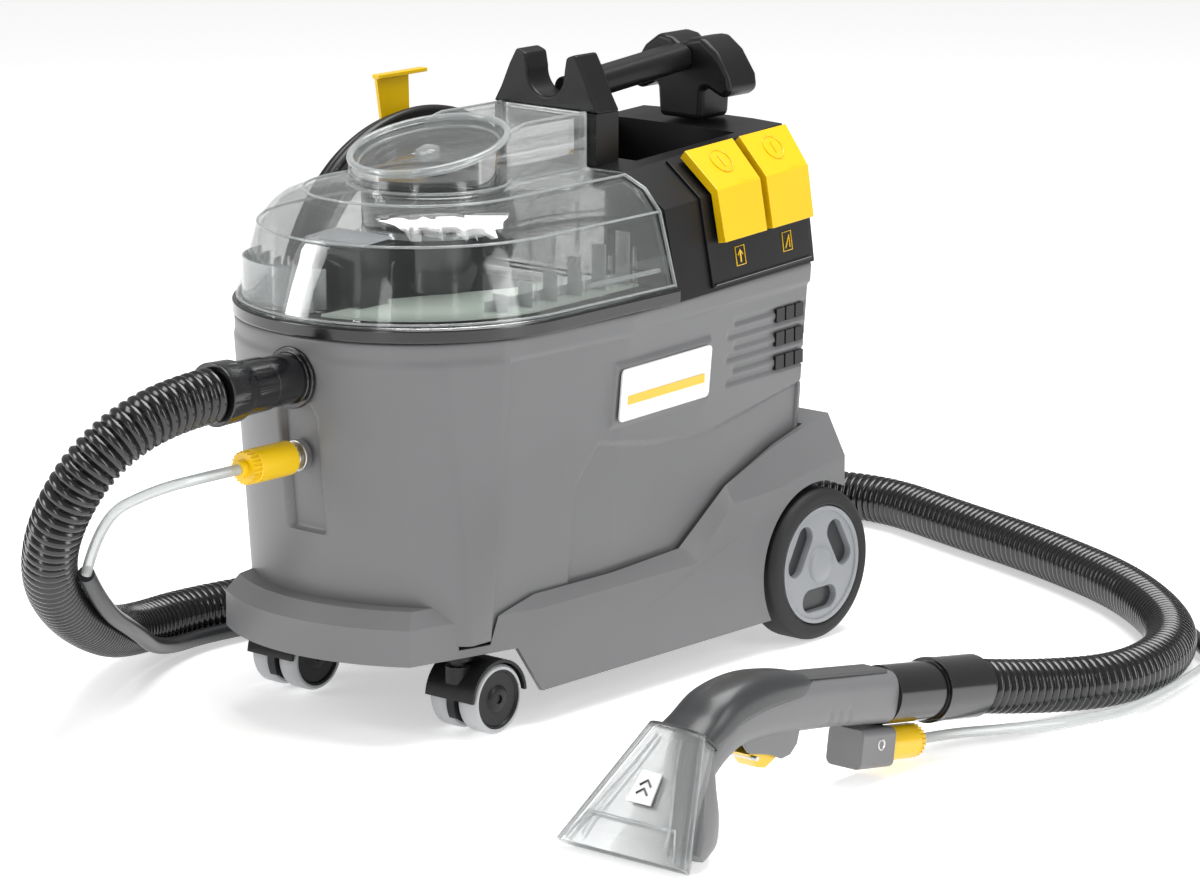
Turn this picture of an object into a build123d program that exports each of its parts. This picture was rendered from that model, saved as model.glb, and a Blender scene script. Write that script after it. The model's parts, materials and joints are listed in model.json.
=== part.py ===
from build123d import *
from math import cos, pi, radians, sin, sqrt, tan
import os

# Spot extractor: a wheeled spray-extraction cleaner with hose and hand tool.
#
# Millimetres. X runs across the machine, the front points along -Y, +Z is up,
# and the floor is z = 0. The machine's middle plane is x = 0.

os.makedirs("parts", exist_ok=True)

# ---------------------------------------------------------------- sizes ----
# overall heights
FRONT_EDGE_Z = 57.5  # lower edge of the skirt at the front
SIDE_EDGE_Z = 24.0  # lower edge of the skirt at the sides
SKIRT_TOP_Z = 83.0  # where the skirt's ledge starts
HOUSING_TOP_Z = 279.0  # top of the lower housing

# skirt
SKIRT_R = 157.0
SKIRT_CY = -168.0
SKIRT_CORNER = 34.0  # degrees from the front
SKIRT_HALF = 113.8
SKIRT_SIDE_Y = -192.0
SKIRT_REAR_Y = 144.0
SKIRT_WALL = 3.5
LEDGE_RISE = 11.0
LEDGE_IN = 10.0

# lower housing
WALL = 3.0
GAP = 0.3  # between pieces that only face each other
HOUSING_LOW_Z = 66.3
BULKHEAD_Y = -50.0

# wheels
WHEEL_R = 56.6
WHEEL_Y = 112.0
WHEEL_X = 118.8  # outer face
WHEEL_W = 30.0
TYRE_T = 12.6  # tread to rim
RIM_R = WHEEL_R - TYRE_T
POCKET_IN = 18.0  # from the rim's edge to the middle of its pockets
AXLE_R = 6.0
RUNNING = 0.05  # radial clearance of a shaft in its bore
ARCH_GAP = 5.4
ARCH_R = WHEEL_R + ARCH_GAP
ARCH_X = 84.0

# casters
CASTER_R = 24.5
CASTER_X = 86.0
CASTER_Y = -248.0
CASTER_TRAIL = 18.0
CASTER_TREAD = 18.0
CASTER_WEB = 8.0
STEM_R = 5.5
PIN_R = 3.0

# lid
SPLIT_Y = -60.0  # where the lid meets the top housing
RIM_TOP_Z = HOUSING_TOP_Z + 10.0
LID_CY = -191.7
LID_WALL = 2.5
LID_LEVELS = (
    # height, half width
    (RIM_TOP_Z, 127.5),
    (RIM_TOP_Z + 53.0, 112.5),
    (RIM_TOP_Z + 69.0, 98.0),
    (RIM_TOP_Z + 77.0, 78.0),
)
DRUM_R = 56.0
DRUM_CY = -181.0
DRUM_FRONT_Z = RIM_TOP_Z + 90.5
DRUM_REAR_Z = RIM_TOP_Z + 116.0
HUMP_HALF = 40.0

# waste tank and fresh tank
TANK_LOW_Z = HOUSING_TOP_Z - 73.0
FRESH_LOW_Z = 74.0
FRESH_TOP_Z = 188.0
STANDPIPE_R = 37.0
BALL_R = 14.0

# top housing
TOP_REAR_Y = 126.0
TOP_GAP = 0.5
TRAY_HALF = 58.0
TRAY_FRONT_Y = -28.0
TRAY_REAR_Y = 82.0
TRAY_FLOOR_Z = HOUSING_TOP_Z + 61.0
HANDLE_W = 26.0
HANDLE_H = 23.0
HANDLE_FRONT_Z = HOUSING_TOP_Z + 134.0
HANDLE_REAR_Z = HOUSING_TOP_Z + 145.0
SADDLE_FRONT_Y = -59.5
SADDLE_T = 24.0
REAR_SADDLE_Y = 88.0
REAR_SADDLE_T = 34.0
TOP_Z = HOUSING_TOP_Z + 161.0

# switch pads
PAD_T = 7.0
PAD_GAP = 3.0
PAD_W = 56.0
PANEL_T = 2.0

# hose port and couplings
PORT_Z = 250.0
PORT_R = 17.5
PORT_END_Y = -348.0
CUFF_END_Y = -395.0
HOSE_D = 38.0
SPRAY_Z = 195.0
COUPLING_R = 12.0
COUPLING_END_Y = -372.0
SPRAY_D = 7.5
STRIP_D = 12.0

# mains cord
CORD_D = 8.0
COIL_X = -140.0
COIL_Y = -45.0
COIL_Z = 245.0
COIL_R = 149.0
COIL_STRANDS = 5  # side by side, two layers deep
HOOK_ARM_R = 6.0

# hand tool
TOOL_X = 362.0
TOOL_SLOPE = 8.5  # degrees, handle rising to the front
TOOL_REAR = (-32.0, 39.0)  # y, z where the hose meets the tool's cuff
CUFF_L = 104.0
HANDLE_L = 112.0
TOOL_R = 18.5
HEAD_W = 108.0
HEAD_L = 90.0
NECK_Y = -333.0


# -------------------------------------------------------------- helpers ----
def mix(a, b, t):
    """A value between a and b."""
    return a + (b - a) * t


def skirt_outline(z, inset):
    """The skirt in plan, moved in from its outer face."""
    r = SKIRT_R - inset
    a = radians(SKIRT_CORNER)
    cx, cy = r * sin(a), SKIRT_CY - r * cos(a)
    half = SKIRT_HALF - inset
    rear = SKIRT_REAR_Y - inset
    with BuildSketch(Plane.XY.offset(z)) as plan:
        with BuildLine():
            ThreePointArc((-cx, cy), (0, SKIRT_CY - r), (cx, cy))
            Polyline(
                (cx, cy),
                (half, SKIRT_SIDE_Y),
                (half, rear),
                (-half, rear),
                (-half, SKIRT_SIDE_Y),
                (-cx, cy),
            )
        make_face()
    return plan.sketch


def housing_corners(z):
    """Arc radius, arc centre and the three side corners of the housing at z."""
    t = (z - 92.0) / (HOUSING_TOP_Z - 92.0)
    return (
        mix(141.6, 128.7, t),
        mix(-158.4, LID_CY, t),
        mix(46.5, 50.0, t),
        (mix(105.5, 121.0, t), mix(-236.0, -233.0, t)),
        (mix(106.0, 126.0, t), -110.0),
        (mix(98.0, 97.5, t), mix(106.0, 125.0, t)),
    )


def housing_outline(z, inset, rear_y=None):
    """The lower housing in plan at z, whole or cut off at rear_y."""
    r, cy, a, c2, c3, c4 = housing_corners(z)
    r -= inset
    a = radians(a)
    c1 = (r * sin(a), cy - r * cos(a))
    c2 = (c2[0] - inset, c2[1])
    c3 = (c3[0] - inset, c3[1])
    c4 = (c4[0] - inset, c4[1] - inset)
    if rear_y is not None:
        s = (rear_y - c3[1]) / (c4[1] - c3[1])
        c4 = (mix(c3[0], c4[0], s), rear_y)
    with BuildSketch(Plane.XY.offset(z)) as plan:
        with BuildLine():
            ThreePointArc((-c1[0], c1[1]), (0, cy - r), c1)
            Polyline(
                c1,
                c2,
                c3,
                c4,
                (-c4[0], c4[1]),
                (-c3[0], c3[1]),
                (-c2[0], c2[1]),
                (-c1[0], c1[1]),
            )
        make_face()
    return plan.sketch


def lid_outline(z, r, rear_y=SPLIT_Y):
    """The lid's plan: a half round front and nearly straight sides."""
    back = r - 3.0
    with BuildSketch(Plane.XY.offset(z)) as plan:
        with BuildLine():
            ThreePointArc((-r, LID_CY), (0, LID_CY - r), (r, LID_CY))
            Polyline((r, LID_CY), (back, rear_y), (-back, rear_y), (-r, LID_CY))
        make_face()
    return plan.sketch


def front_wall(z):
    """Where the lower housing's front face is at height z."""
    r, cy, *_ = housing_corners(z)
    return cy - r


def side_plane(y, z, side=1):
    """A plane on the housing's side at y, z, with its normal outward."""
    _, _, _, _, c3, c4 = housing_corners(z)
    s = (y - c3[1]) / (c4[1] - c3[1])
    x = mix(c3[0], c4[0], s)
    _, _, _, _, d3, d4 = housing_corners(z + 10)
    lean = (mix(d3[0], d4[0], (y - d3[1]) / (d4[1] - d3[1])) - x) / 10
    along = Vector((c4[0] - c3[0]), (c4[1] - c3[1]), 0).normalized()
    up = Vector(lean, 0, 1).normalized()
    normal = along.cross(up).normalized()
    return Plane(
        origin=(side * x, y, z),
        x_dir=(side * along.X, along.Y, along.Z),
        z_dir=(side * normal.X, normal.Y, normal.Z),
    )


def top_section(y):
    """The top housing's half section at y: four corners from low to high."""
    t = (y - SPLIT_Y) / (TOP_REAR_Y - SPLIT_Y)
    return (
        (mix(125.0, 97.5, t), HOUSING_TOP_Z),
        (mix(111.0, 88.0, t), HOUSING_TOP_Z + mix(64.0, 68.0, t)),
        (mix(75.0, 66.0, t), HOUSING_TOP_Z + mix(87.0, 98.0, t)),
        (mix(46.0, 40.0, t), HOUSING_TOP_Z + mix(87.0, 99.0, t)),
    )


def top_profile(y, inset, low):
    """The top housing's full section at y, as a face, moved in by inset."""
    a, b, c, d = top_section(y)
    pts = [
        (a[0] - inset, low),
        (b[0] - inset, b[1] - inset * 0.4),
        (c[0] - inset * 0.6, c[1] - inset),
        (d[0], d[1] - inset),
    ]
    with BuildSketch(Plane(origin=(0, y, 0), x_dir=(1, 0, 0), z_dir=(0, -1, 0))) as s:
        with BuildLine():
            Polyline(*pts, *[(-x, z) for x, z in reversed(pts)], pts[0])
        make_face()
    return s.sketch


def bend_radii(pts):
    """The largest tangent arc at each inner point of a route."""
    radii = []
    for a, b, c in zip(pts, pts[1:], pts[2:]):
        u, v = Vector(*b) - Vector(*a), Vector(*c) - Vector(*b)
        half = radians(u.get_angle(v)) / 2
        radii.append(0.45 * min(u.length, v.length) / tan(half))
    return radii


def start_plane(pts):
    """The plane across the start of a route."""
    return Plane(origin=pts[0], z_dir=Vector(*pts[1]) - Vector(*pts[0]))


def along_tool(s, drop=0.0):
    """The point (y, z) a distance s along the hand tool from its rear end."""
    a = radians(TOOL_SLOPE)
    return (
        TOOL_REAR[0] - s * cos(a) - drop * sin(a),
        TOOL_REAR[1] + s * sin(a) - drop * cos(a),
    )


def tool_plane(s):
    """The plane across the hand tool's handle at s, facing the front."""
    a = radians(TOOL_SLOPE)
    y, z = along_tool(s)
    return Plane(origin=(TOOL_X, y, z), x_dir=(1, 0, 0), z_dir=(0, -cos(a), sin(a)))


# -------------------------------------------------------------- chassis ----
with BuildPart() as chassis:
    add(skirt_outline(SIDE_EDGE_Z, 0))
    extrude(amount=SKIRT_TOP_Z - SIDE_EDGE_Z)
    loft(
        [
            skirt_outline(SKIRT_TOP_Z, 0).face(),
            skirt_outline(SKIRT_TOP_Z + LEDGE_RISE, LEDGE_IN).face(),
        ],
        ruled=True,
    )
    # raised haunches over the rear wheels
    haunch_in = SKIRT_HALF - LEDGE_IN
    outer = [(-26, 78), (-26, 83), (14, 119), (75, 122), (144, 133), (144, 78)]
    inner = [(-36, 78), (-36, 93), (18, 131), (75, 151), (136, 165), (136, 78)]
    for sgn in (1, -1):
        faces = []
        for x, pts in ((haunch_in, inner), (SKIRT_HALF, outer)):
            with BuildSketch(Plane.YZ.offset(sgn * x), mode=Mode.PRIVATE) as s:
                with BuildLine():
                    Polyline(*pts, close=True)
                make_face()
            faces.append(s.sketch.face())
        loft(faces, ruled=True)
    with BuildSketch(Plane.YZ.offset(-haunch_in)):
        with BuildLine():
            Polyline(*inner, close=True)
        make_face()
    extrude(amount=2 * haunch_in)
    # open inside, open at the front corners above the casters
    add(skirt_outline(0, SKIRT_WALL))
    extrude(amount=SKIRT_TOP_Z - 3, mode=Mode.SUBTRACT)
    low = 0.0
    with BuildSketch(Plane.YZ.offset(-200)):
        with BuildLine():
            Polyline(
                (-360, low),
                (SKIRT_SIDE_Y + 14, low),
                (SKIRT_SIDE_Y, SIDE_EDGE_Z),
                (SKIRT_SIDE_Y - 20, FRONT_EDGE_Z),
                (-360, FRONT_EDGE_Z),
                close=True,
            )
        make_face()
    extrude(amount=400, mode=Mode.SUBTRACT)
    with Locations((0, WHEEL_Y, WHEEL_R)):
        for sgn in (1, -1):
            with Locations((sgn * (ARCH_X + 25), 0, 0)):
                Cylinder(ARCH_R, 50, rotation=(0, 90, 0), mode=Mode.SUBTRACT)
    loft(
        [
            housing_outline(HOUSING_LOW_Z - 3, -GAP).face(),
            housing_outline(HOUSING_TOP_Z, -GAP).face(),
        ],
        ruled=True,
        mode=Mode.SUBTRACT,
    )
chassis.part.label = "chassis"

# ------------------------------------------------------------ base plate ----
PLATE_Z = 60.0
PLATE_T = 4.0
BOSS_X = 68.0
SOCKET_Z = 53.2
with BuildPart() as base_plate:
    add(skirt_outline(PLATE_Z, SKIRT_WALL + 1))
    extrude(amount=PLATE_T)
    for sgn in (1, -1):
        with Locations((sgn * (ARCH_X + 25), WHEEL_Y, WHEEL_R)):
            Cylinder(ARCH_R + 2, 50, rotation=(0, 90, 0), mode=Mode.SUBTRACT)
        # caster socket
        with Locations((sgn * CASTER_X, CASTER_Y, (SOCKET_Z + PLATE_Z + PLATE_T) / 2)):
            Cylinder(11, PLATE_Z + PLATE_T - SOCKET_Z)
        # axle block
        with Locations((sgn * BOSS_X, WHEEL_Y, (40 + PLATE_Z) / 2)):
            Box(14, 30, PLATE_Z - 40)
    # ribs and feet under the plate
    for y in (-290, -270, -150, -60, 30):
        with Locations((0, y, PLATE_Z - 3)):
            Box(120 if y < -200 else 190, 3, 6)
    for sgn in (1, -1):
        for y in (-2, 66):
            with Locations((sgn * 74, y, PLATE_Z - 22)):
                Cylinder(7, 44)
    with Locations((0, WHEEL_Y, WHEEL_R)):
        Cylinder(AXLE_R + RUNNING, 300, rotation=(0, 90, 0), mode=Mode.SUBTRACT)
    for sgn in (1, -1):
        with Locations((sgn * CASTER_X, CASTER_Y, 57)):
            Cylinder(STEM_R + RUNNING, 16, mode=Mode.SUBTRACT)
base_plate.part.label = "base_plate"

with BuildPart() as rear_axle:
    with Locations((0, WHEEL_Y, WHEEL_R)):
        Cylinder(AXLE_R, 2 * (WHEEL_X - 8), rotation=(0, 90, 0))
rear_axle.part.label = "rear_axle"


# ---------------------------------------------------------------- wheels ----
def wheel_tyre(side):
    """A rear tyre with a rounded tread."""
    x0, x1 = WHEEL_X - WHEEL_W, WHEEL_X
    with BuildPart() as made:
        with BuildSketch(Plane.XY):
            with BuildLine():
                Polyline(
                    (side * x0, WHEEL_Y + RIM_R),
                    (side * x1, WHEEL_Y + RIM_R),
                    (side * x1, WHEEL_Y + WHEEL_R - 4),
                    (side * (x1 - 4), WHEEL_Y + WHEEL_R),
                    (side * (x0 + 4), WHEEL_Y + WHEEL_R),
                    (side * x0, WHEEL_Y + WHEEL_R - 4),
                    close=True,
                )
            make_face()
        revolve(axis=Axis((0, WHEEL_Y, 0), (1, 0, 0)))
    return made.part.moved(Location((0, 0, WHEEL_R)))


def wheel_rim(side):
    """A rear rim: disc, hub, cap and three pockets."""
    with BuildPart() as made:
        with Locations((side * (WHEEL_X - WHEEL_W / 2 - 1), WHEEL_Y, WHEEL_R)):
            Cylinder(RIM_R, WHEEL_W - 2, rotation=(0, 90, 0))
        with BuildSketch(Plane.YZ.offset(side * (WHEEL_X - 2))):
            with Locations((WHEEL_Y, WHEEL_R)):
                for i in range(3):
                    with PolarLocations(0, 1, start_angle=30 + 120 * i):
                        with Locations((RIM_R - POCKET_IN, 0)):
                            SlotCenterToCenter(22, 17, rotation=90)
        extrude(amount=-side * 18, mode=Mode.SUBTRACT)
        with Locations((side * (WHEEL_X - 1.5), WHEEL_Y, WHEEL_R)):
            Cylinder(13, 3, rotation=(0, 90, 0))
        with Locations((side * (WHEEL_X - 40), WHEEL_Y, WHEEL_R)):
            Cylinder(AXLE_R + RUNNING, 66, rotation=(0, 90, 0), mode=Mode.SUBTRACT)
    return made.part


with BuildPart() as tyre_right:
    add(wheel_tyre(1))
tyre_right.part.label = "tyre_right"
with BuildPart() as tyre_left:
    add(wheel_tyre(-1))
tyre_left.part.label = "tyre_left"
with BuildPart() as rim_right:
    add(wheel_rim(1))
rim_right.part.label = "rim_right"
with BuildPart() as rim_left:
    add(wheel_rim(-1))
rim_left.part.label = "rim_left"


# --------------------------------------------------------------- casters ----
def caster_fork(side):
    """A caster's stem, web, hood and axle pin."""
    x, y = side * CASTER_X, CASTER_Y
    wy = y + CASTER_TRAIL
    with BuildPart() as made:
        with Locations((x, y, 55)):
            Cylinder(STEM_R, 16)
        with Locations((x, y, 43)):
            Cylinder(9, 12)
        # hood: an arch over both wheels
        with BuildSketch(Plane.YZ.offset(x - CASTER_TREAD - CASTER_WEB / 2)):
            with Locations((wy, CASTER_R)):
                Circle(CASTER_R + 3.5)
                Circle(CASTER_R + 1.2, mode=Mode.SUBTRACT)
                with Locations((0, -CASTER_R + 2)):
                    Rectangle(100, 2 * CASTER_R, mode=Mode.SUBTRACT)
        extrude(amount=2 * CASTER_TREAD + CASTER_WEB)
        # room for both wheels, then the web between them
        with Locations((x, wy, CASTER_R)):
            Cylinder(CASTER_R + 1.2, 80, rotation=(0, 90, 0), mode=Mode.SUBTRACT)
        with BuildSketch(Plane.YZ.offset(x - CASTER_WEB / 2 + 0.5)):
            with Locations((wy, CASTER_R)):
                Circle(CASTER_R + 2)
                with Locations((0, -CASTER_R)):
                    Rectangle(80, CASTER_R, mode=Mode.SUBTRACT)
        extrude(amount=CASTER_WEB - 1)
        with Locations((x, wy, CASTER_R)):
            Cylinder(PIN_R, 2 * CASTER_TREAD + CASTER_WEB - 4, rotation=(0, 90, 0))
    return made.part


def caster_wheels(side):
    """The two wheels of a twin caster, one each side of its web."""
    with BuildPart() as made:
        for half in (1, -1):
            x = side * CASTER_X + half * (CASTER_WEB / 2 + CASTER_TREAD / 2)
            with Locations((x, CASTER_Y + CASTER_TRAIL, CASTER_R)):
                Cylinder(CASTER_R, CASTER_TREAD - 0.6, rotation=(0, 90, 0))
        treads = made.edges().filter_by(GeomType.CIRCLE)
        chamfer(treads, 2)
        with Locations((side * CASTER_X, CASTER_Y + CASTER_TRAIL, CASTER_R)):
            Cylinder(PIN_R + RUNNING, 80, rotation=(0, 90, 0), mode=Mode.SUBTRACT)
    return made.part


with BuildPart() as caster_fork_right:
    add(caster_fork(1))
caster_fork_right.part.label = "caster_fork_right"
with BuildPart() as caster_fork_left:
    add(caster_fork(-1))
caster_fork_left.part.label = "caster_fork_left"
with BuildPart() as caster_wheels_right:
    add(caster_wheels(1))
caster_wheels_right.part.label = "caster_wheels_right"
with BuildPart() as caster_wheels_left:
    add(caster_wheels(-1))
caster_wheels_left.part.label = "caster_wheels_left"

# --------------------------------------------------------- lower housing ----
LABEL_Y, LABEL_Z = -65.5, 221.5
LABEL_L, LABEL_H = 110.0, 38.0
SLOT_Y, SLOT_ZS = (40.0, 95.0), (246.0, 229.0, 212.0)
PORT_WALL_Y = front_wall(PORT_Z)
SPRAY_WALL_Y = front_wall(SPRAY_Z)
with BuildPart() as lower_housing:
    loft(
        [
            housing_outline(HOUSING_LOW_Z, 0).face(),
            housing_outline(HOUSING_TOP_Z, 0).face(),
        ],
        ruled=True,
    )
    with BuildPart(mode=Mode.PRIVATE) as cavity:
        loft(
            [
                housing_outline(HOUSING_LOW_Z + WALL, WALL).face(),
                housing_outline(HOUSING_TOP_Z, WALL).face(),
            ],
            ruled=True,
        )
        # wheel wells and the bulkhead stay solid
        for sgn in (1, -1):
            with Locations((sgn * (ARCH_X - WALL + 25), WHEEL_Y, WHEEL_R)):
                Cylinder(ARCH_R + WALL, 50, rotation=(0, 90, 0), mode=Mode.SUBTRACT)
        with Locations((0, BULKHEAD_Y, 170)):
            Box(300, WALL, 300, mode=Mode.SUBTRACT)
    add(cavity.part, mode=Mode.SUBTRACT)
    for sgn in (1, -1):
        with Locations((sgn * (ARCH_X + 25), WHEEL_Y, WHEEL_R)):
            Cylinder(ARCH_R, 50, rotation=(0, 90, 0), mode=Mode.SUBTRACT)
    # boss for the label, with its recess
    with BuildSketch(side_plane(LABEL_Y, LABEL_Z).offset(-2)):
        RectangleRounded(LABEL_L + 8, LABEL_H + 8, 6)
    extrude(amount=4.5)
    with BuildSketch(side_plane(LABEL_Y, LABEL_Z).offset(1)):
        RectangleRounded(LABEL_L + 2 * GAP, LABEL_H + 2 * GAP, 4)
    extrude(amount=4, mode=Mode.SUBTRACT)
    # three cooling slots
    for z in SLOT_ZS:
        with BuildSketch(side_plane(sum(SLOT_Y) / 2 + 20, z).offset(-8)):
            SlotOverall(36, 9)
        extrude(amount=16, mode=Mode.SUBTRACT)
        with BuildSketch(side_plane(50, z).offset(-1)):
            SlotOverall(78, 5)
        extrude(amount=6, mode=Mode.SUBTRACT)
    # port and spray nipple holes in the front wall
    with Locations((0, PORT_WALL_Y + 10, PORT_Z)):
        Cylinder(PORT_R + GAP, 60, rotation=(90, 0, 0), mode=Mode.SUBTRACT)
    with Locations((0, SPRAY_WALL_Y + 10, SPRAY_Z)):
        Cylinder(6 + GAP, 60, rotation=(90, 0, 0), mode=Mode.SUBTRACT)
    # gland hole in the rear wall
    with Locations((-70, 118, 200)):
        Cylinder(8 + GAP, 40, rotation=(90, 0, 0), mode=Mode.SUBTRACT)
lower_housing.part.label = "lower_housing"

with BuildPart() as label_plate:
    with BuildSketch(side_plane(LABEL_Y, LABEL_Z).offset(1)):
        RectangleRounded(LABEL_L, LABEL_H, 4)
    extrude(amount=1.8)
label_plate.part.label = "label_plate"

with BuildPart() as vent_grille:
    with BuildSketch(side_plane(87, 229).offset(-13)):
        Rectangle(50, 52)
    extrude(amount=2)
    with BuildSketch(side_plane(87, 229).offset(-13)):
        with GridLocations(6, 17, 6, 3):
            Rectangle(3, 8)
    extrude(amount=2, mode=Mode.SUBTRACT)
vent_grille.part.label = "vent_grille"

# ----------------------------------------------------- inside the housing ----
with BuildPart() as fresh_tank:
    loft(
        [
            housing_outline(FRESH_LOW_Z, WALL + 3, BULKHEAD_Y - 6).face(),
            housing_outline(FRESH_TOP_Z, WALL + 3, BULKHEAD_Y - 6).face(),
        ],
        ruled=True,
    )
    loft(
        [
            housing_outline(FRESH_LOW_Z + 2, WALL + 5, BULKHEAD_Y - 8).face(),
            housing_outline(FRESH_TOP_Z - 2, WALL + 5, BULKHEAD_Y - 8).face(),
        ],
        ruled=True,
        mode=Mode.SUBTRACT,
    )
    with Locations((60, -120, FRESH_TOP_Z)):
        Cylinder(18, 12, mode=Mode.SUBTRACT)
    # room for the spray pipe behind the front wall
    with Locations((0, SPRAY_WALL_Y + 24, FRESH_TOP_Z)):
        Box(44, 40, 20, mode=Mode.SUBTRACT)
fresh_tank.part.label = "fresh_tank"

MOTOR_Y, MOTOR_Z, MOTOR_R = 30.0, 72.0, 62.0
with BuildPart() as turbine_housing:
    with Locations((0, MOTOR_Y, MOTOR_Z + 62)):
        Cylinder(MOTOR_R, 124)
        Cylinder(MOTOR_R - 3, 118, mode=Mode.SUBTRACT)
    with Locations((0, MOTOR_Y, MOTOR_Z + 120)):
        Cylinder(20, 12, mode=Mode.SUBTRACT)
turbine_housing.part.label = "turbine_housing"

with BuildPart() as turbine_motor:
    with Locations((0, MOTOR_Y, MOTOR_Z + 40)):
        Cylinder(38, 66)
    with Locations((0, MOTOR_Y, MOTOR_Z + 85)):
        Cylinder(4, 30)
    with Locations((0, MOTOR_Y, MOTOR_Z + 5)):
        Cylinder(30, 4)
turbine_motor.part.label = "turbine_motor"

with BuildPart() as turbine_fan:
    with Locations((0, MOTOR_Y, MOTOR_Z + 88)):
        Cylinder(52, 3)
        Cylinder(12, 16)
        with PolarLocations(32, 9):
            Box(34, 2.5, 16, align=(Align.CENTER, Align.CENTER, Align.MIN))
    with Locations((0, MOTOR_Y, MOTOR_Z + 88)):
        Cylinder(4 + RUNNING, 60, mode=Mode.SUBTRACT)
turbine_fan.part.label = "turbine_fan"

with BuildPart() as spray_pump:
    with Locations((-78, -16, 110)):
        Box(24, 40, 44)
    with Locations((-78, -14, 148)):
        Cylinder(11, 36)
    with Locations((-78, -16, 79)):
        Box(30, 44, 18)
spray_pump.part.label = "spray_pump"

# ------------------------------------------------------------ waste tank ----
with BuildPart() as waste_tank:
    loft(
        [
            housing_outline(TANK_LOW_Z, WALL + 4, SPLIT_Y - 1).face(),
            housing_outline(HOUSING_TOP_Z, WALL + 1.5, SPLIT_Y - 1).face(),
        ],
        ruled=True,
    )
    loft(
        [
            housing_outline(TANK_LOW_Z + 2.5, WALL + 6.5, SPLIT_Y - 3.5).face(),
            housing_outline(HOUSING_TOP_Z, WALL + 4, SPLIT_Y - 3.5).face(),
        ],
        ruled=True,
        mode=Mode.SUBTRACT,
    )
    # inlet from the hose port, and a corner cleared for the spray pipe
    with Locations((0, PORT_WALL_Y + 12, PORT_Z)):
        Cylinder(PORT_R - 2, 40, rotation=(90, 0, 0), mode=Mode.SUBTRACT)
waste_tank.part.label = "waste_tank"

with BuildPart() as tank_rim:
    add(lid_outline(HOUSING_TOP_Z + GAP, 130))
    extrude(amount=RIM_TOP_Z - HOUSING_TOP_Z - GAP)
    add(lid_outline(HOUSING_TOP_Z + GAP, 117, SPLIT_Y - 12))
    extrude(amount=RIM_TOP_Z, mode=Mode.SUBTRACT)
tank_rim.part.label = "tank_rim"

DECK_Z = 290.0
with BuildPart() as tank_deck:
    # plate across the waste tank, with upright baffles and the float seat
    add(lid_outline(DECK_Z - 4, 116.5, SPLIT_Y - 12.5))
    extrude(amount=2)
    with Locations((0, DRUM_CY, DECK_Z - 3)):
        Cylinder(STANDPIPE_R + 0.4, 20, mode=Mode.SUBTRACT)
    with Locations((0, -262, DECK_Z - 3)):
        Box(50, 30, 20, mode=Mode.SUBTRACT)
    for sgn in (1, -1):
        for i, y in enumerate((-215, -190, -165, -140, -115, -90)):
            with Locations((sgn * (105 + 0.04 * (y + 215)), y, DECK_Z - 2)):
                Box(3, 2, 18 + 3 * i, align=(Align.CENTER, Align.CENTER, Align.MIN))
tank_deck.part.label = "tank_deck"

with BuildPart() as standpipe:
    # tall intake drum with its ports under the raised part of the lid
    with Locations((0, DRUM_CY, 291)):
        Cylinder(STANDPIPE_R, 162)
        Cylinder(STANDPIPE_R - 2.5, 170, mode=Mode.SUBTRACT)
    with Locations((0, DRUM_CY, HOUSING_TOP_Z + 91)):
        Cylinder(STANDPIPE_R, 3)
        Cylinder(12, 8, mode=Mode.SUBTRACT)
    with Locations((0, DRUM_CY, 230)):
        Cylinder(STANDPIPE_R, 3)
        Cylinder(8, 8, mode=Mode.SUBTRACT)
    with Locations((0, DRUM_CY, 216)):
        Cylinder(STANDPIPE_R - 6, 12)
        Cylinder(STANDPIPE_R - 9, 20, mode=Mode.SUBTRACT)
    with Locations((0, DRUM_CY, 221)):
        Cylinder(STANDPIPE_R, 3)
        Cylinder(STANDPIPE_R - 9, 6, mode=Mode.SUBTRACT)
standpipe.part.label = "standpipe"

with BuildPart() as float_ball:
    with Locations((0, DRUM_CY, 248)):
        Sphere(BALL_R)
float_ball.part.label = "float_ball"

with BuildPart() as inlet_block:
    with Locations((0, -262, 309)):
        Box(48, 28, 50)
        Box(44, 24, 54, mode=Mode.SUBTRACT)
    with Locations((0, -262, 335)):
        Box(56, 34, 3)
inlet_block.part.label = "inlet_block"


# ------------------------------------------------------------------ lid ----
def drum_column(inset, low, drop):
    """The raised drum and the hump behind it, up to their sloping top."""
    with BuildPart() as made:
        with BuildSketch(Plane.XY.offset(low)):
            with Locations((0, DRUM_CY)):
                Circle(DRUM_R - inset)
            with Locations((0, (DRUM_CY + SPLIT_Y - inset) / 2)):
                Rectangle(2 * (HUMP_HALF - inset), SPLIT_Y - inset - DRUM_CY)
        extrude(amount=DRUM_REAR_Z - low)
        with BuildSketch(Plane.YZ.offset(-100)):
            with BuildLine():
                Polyline(
                    (DRUM_CY - DRUM_R - 5, low),
                    (DRUM_CY - DRUM_R - 5, DRUM_FRONT_Z - drop),
                    (DRUM_CY + DRUM_R, DRUM_REAR_Z - drop),
                    (SPLIT_Y + 5, DRUM_REAR_Z - drop),
                    (SPLIT_Y + 5, low),
                    close=True,
                )
            make_face()
        extrude(amount=200, mode=Mode.INTERSECT)
    return made.part


with BuildPart() as tank_lid:
    loft([lid_outline(z, r).face() for z, r in LID_LEVELS], ruled=True)
    add(drum_column(0, HOUSING_TOP_Z + 61, 0))
    loft(
        [
            lid_outline(z - (LID_WALL if i else 0), r - LID_WALL, SPLIT_Y - LID_WALL).face()
            for i, (z, r) in enumerate(LID_LEVELS)
        ],
        ruled=True,
        mode=Mode.SUBTRACT,
    )
    add(drum_column(LID_WALL, 330, LID_WALL), mode=Mode.SUBTRACT)
tank_lid.part.label = "tank_lid"

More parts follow.
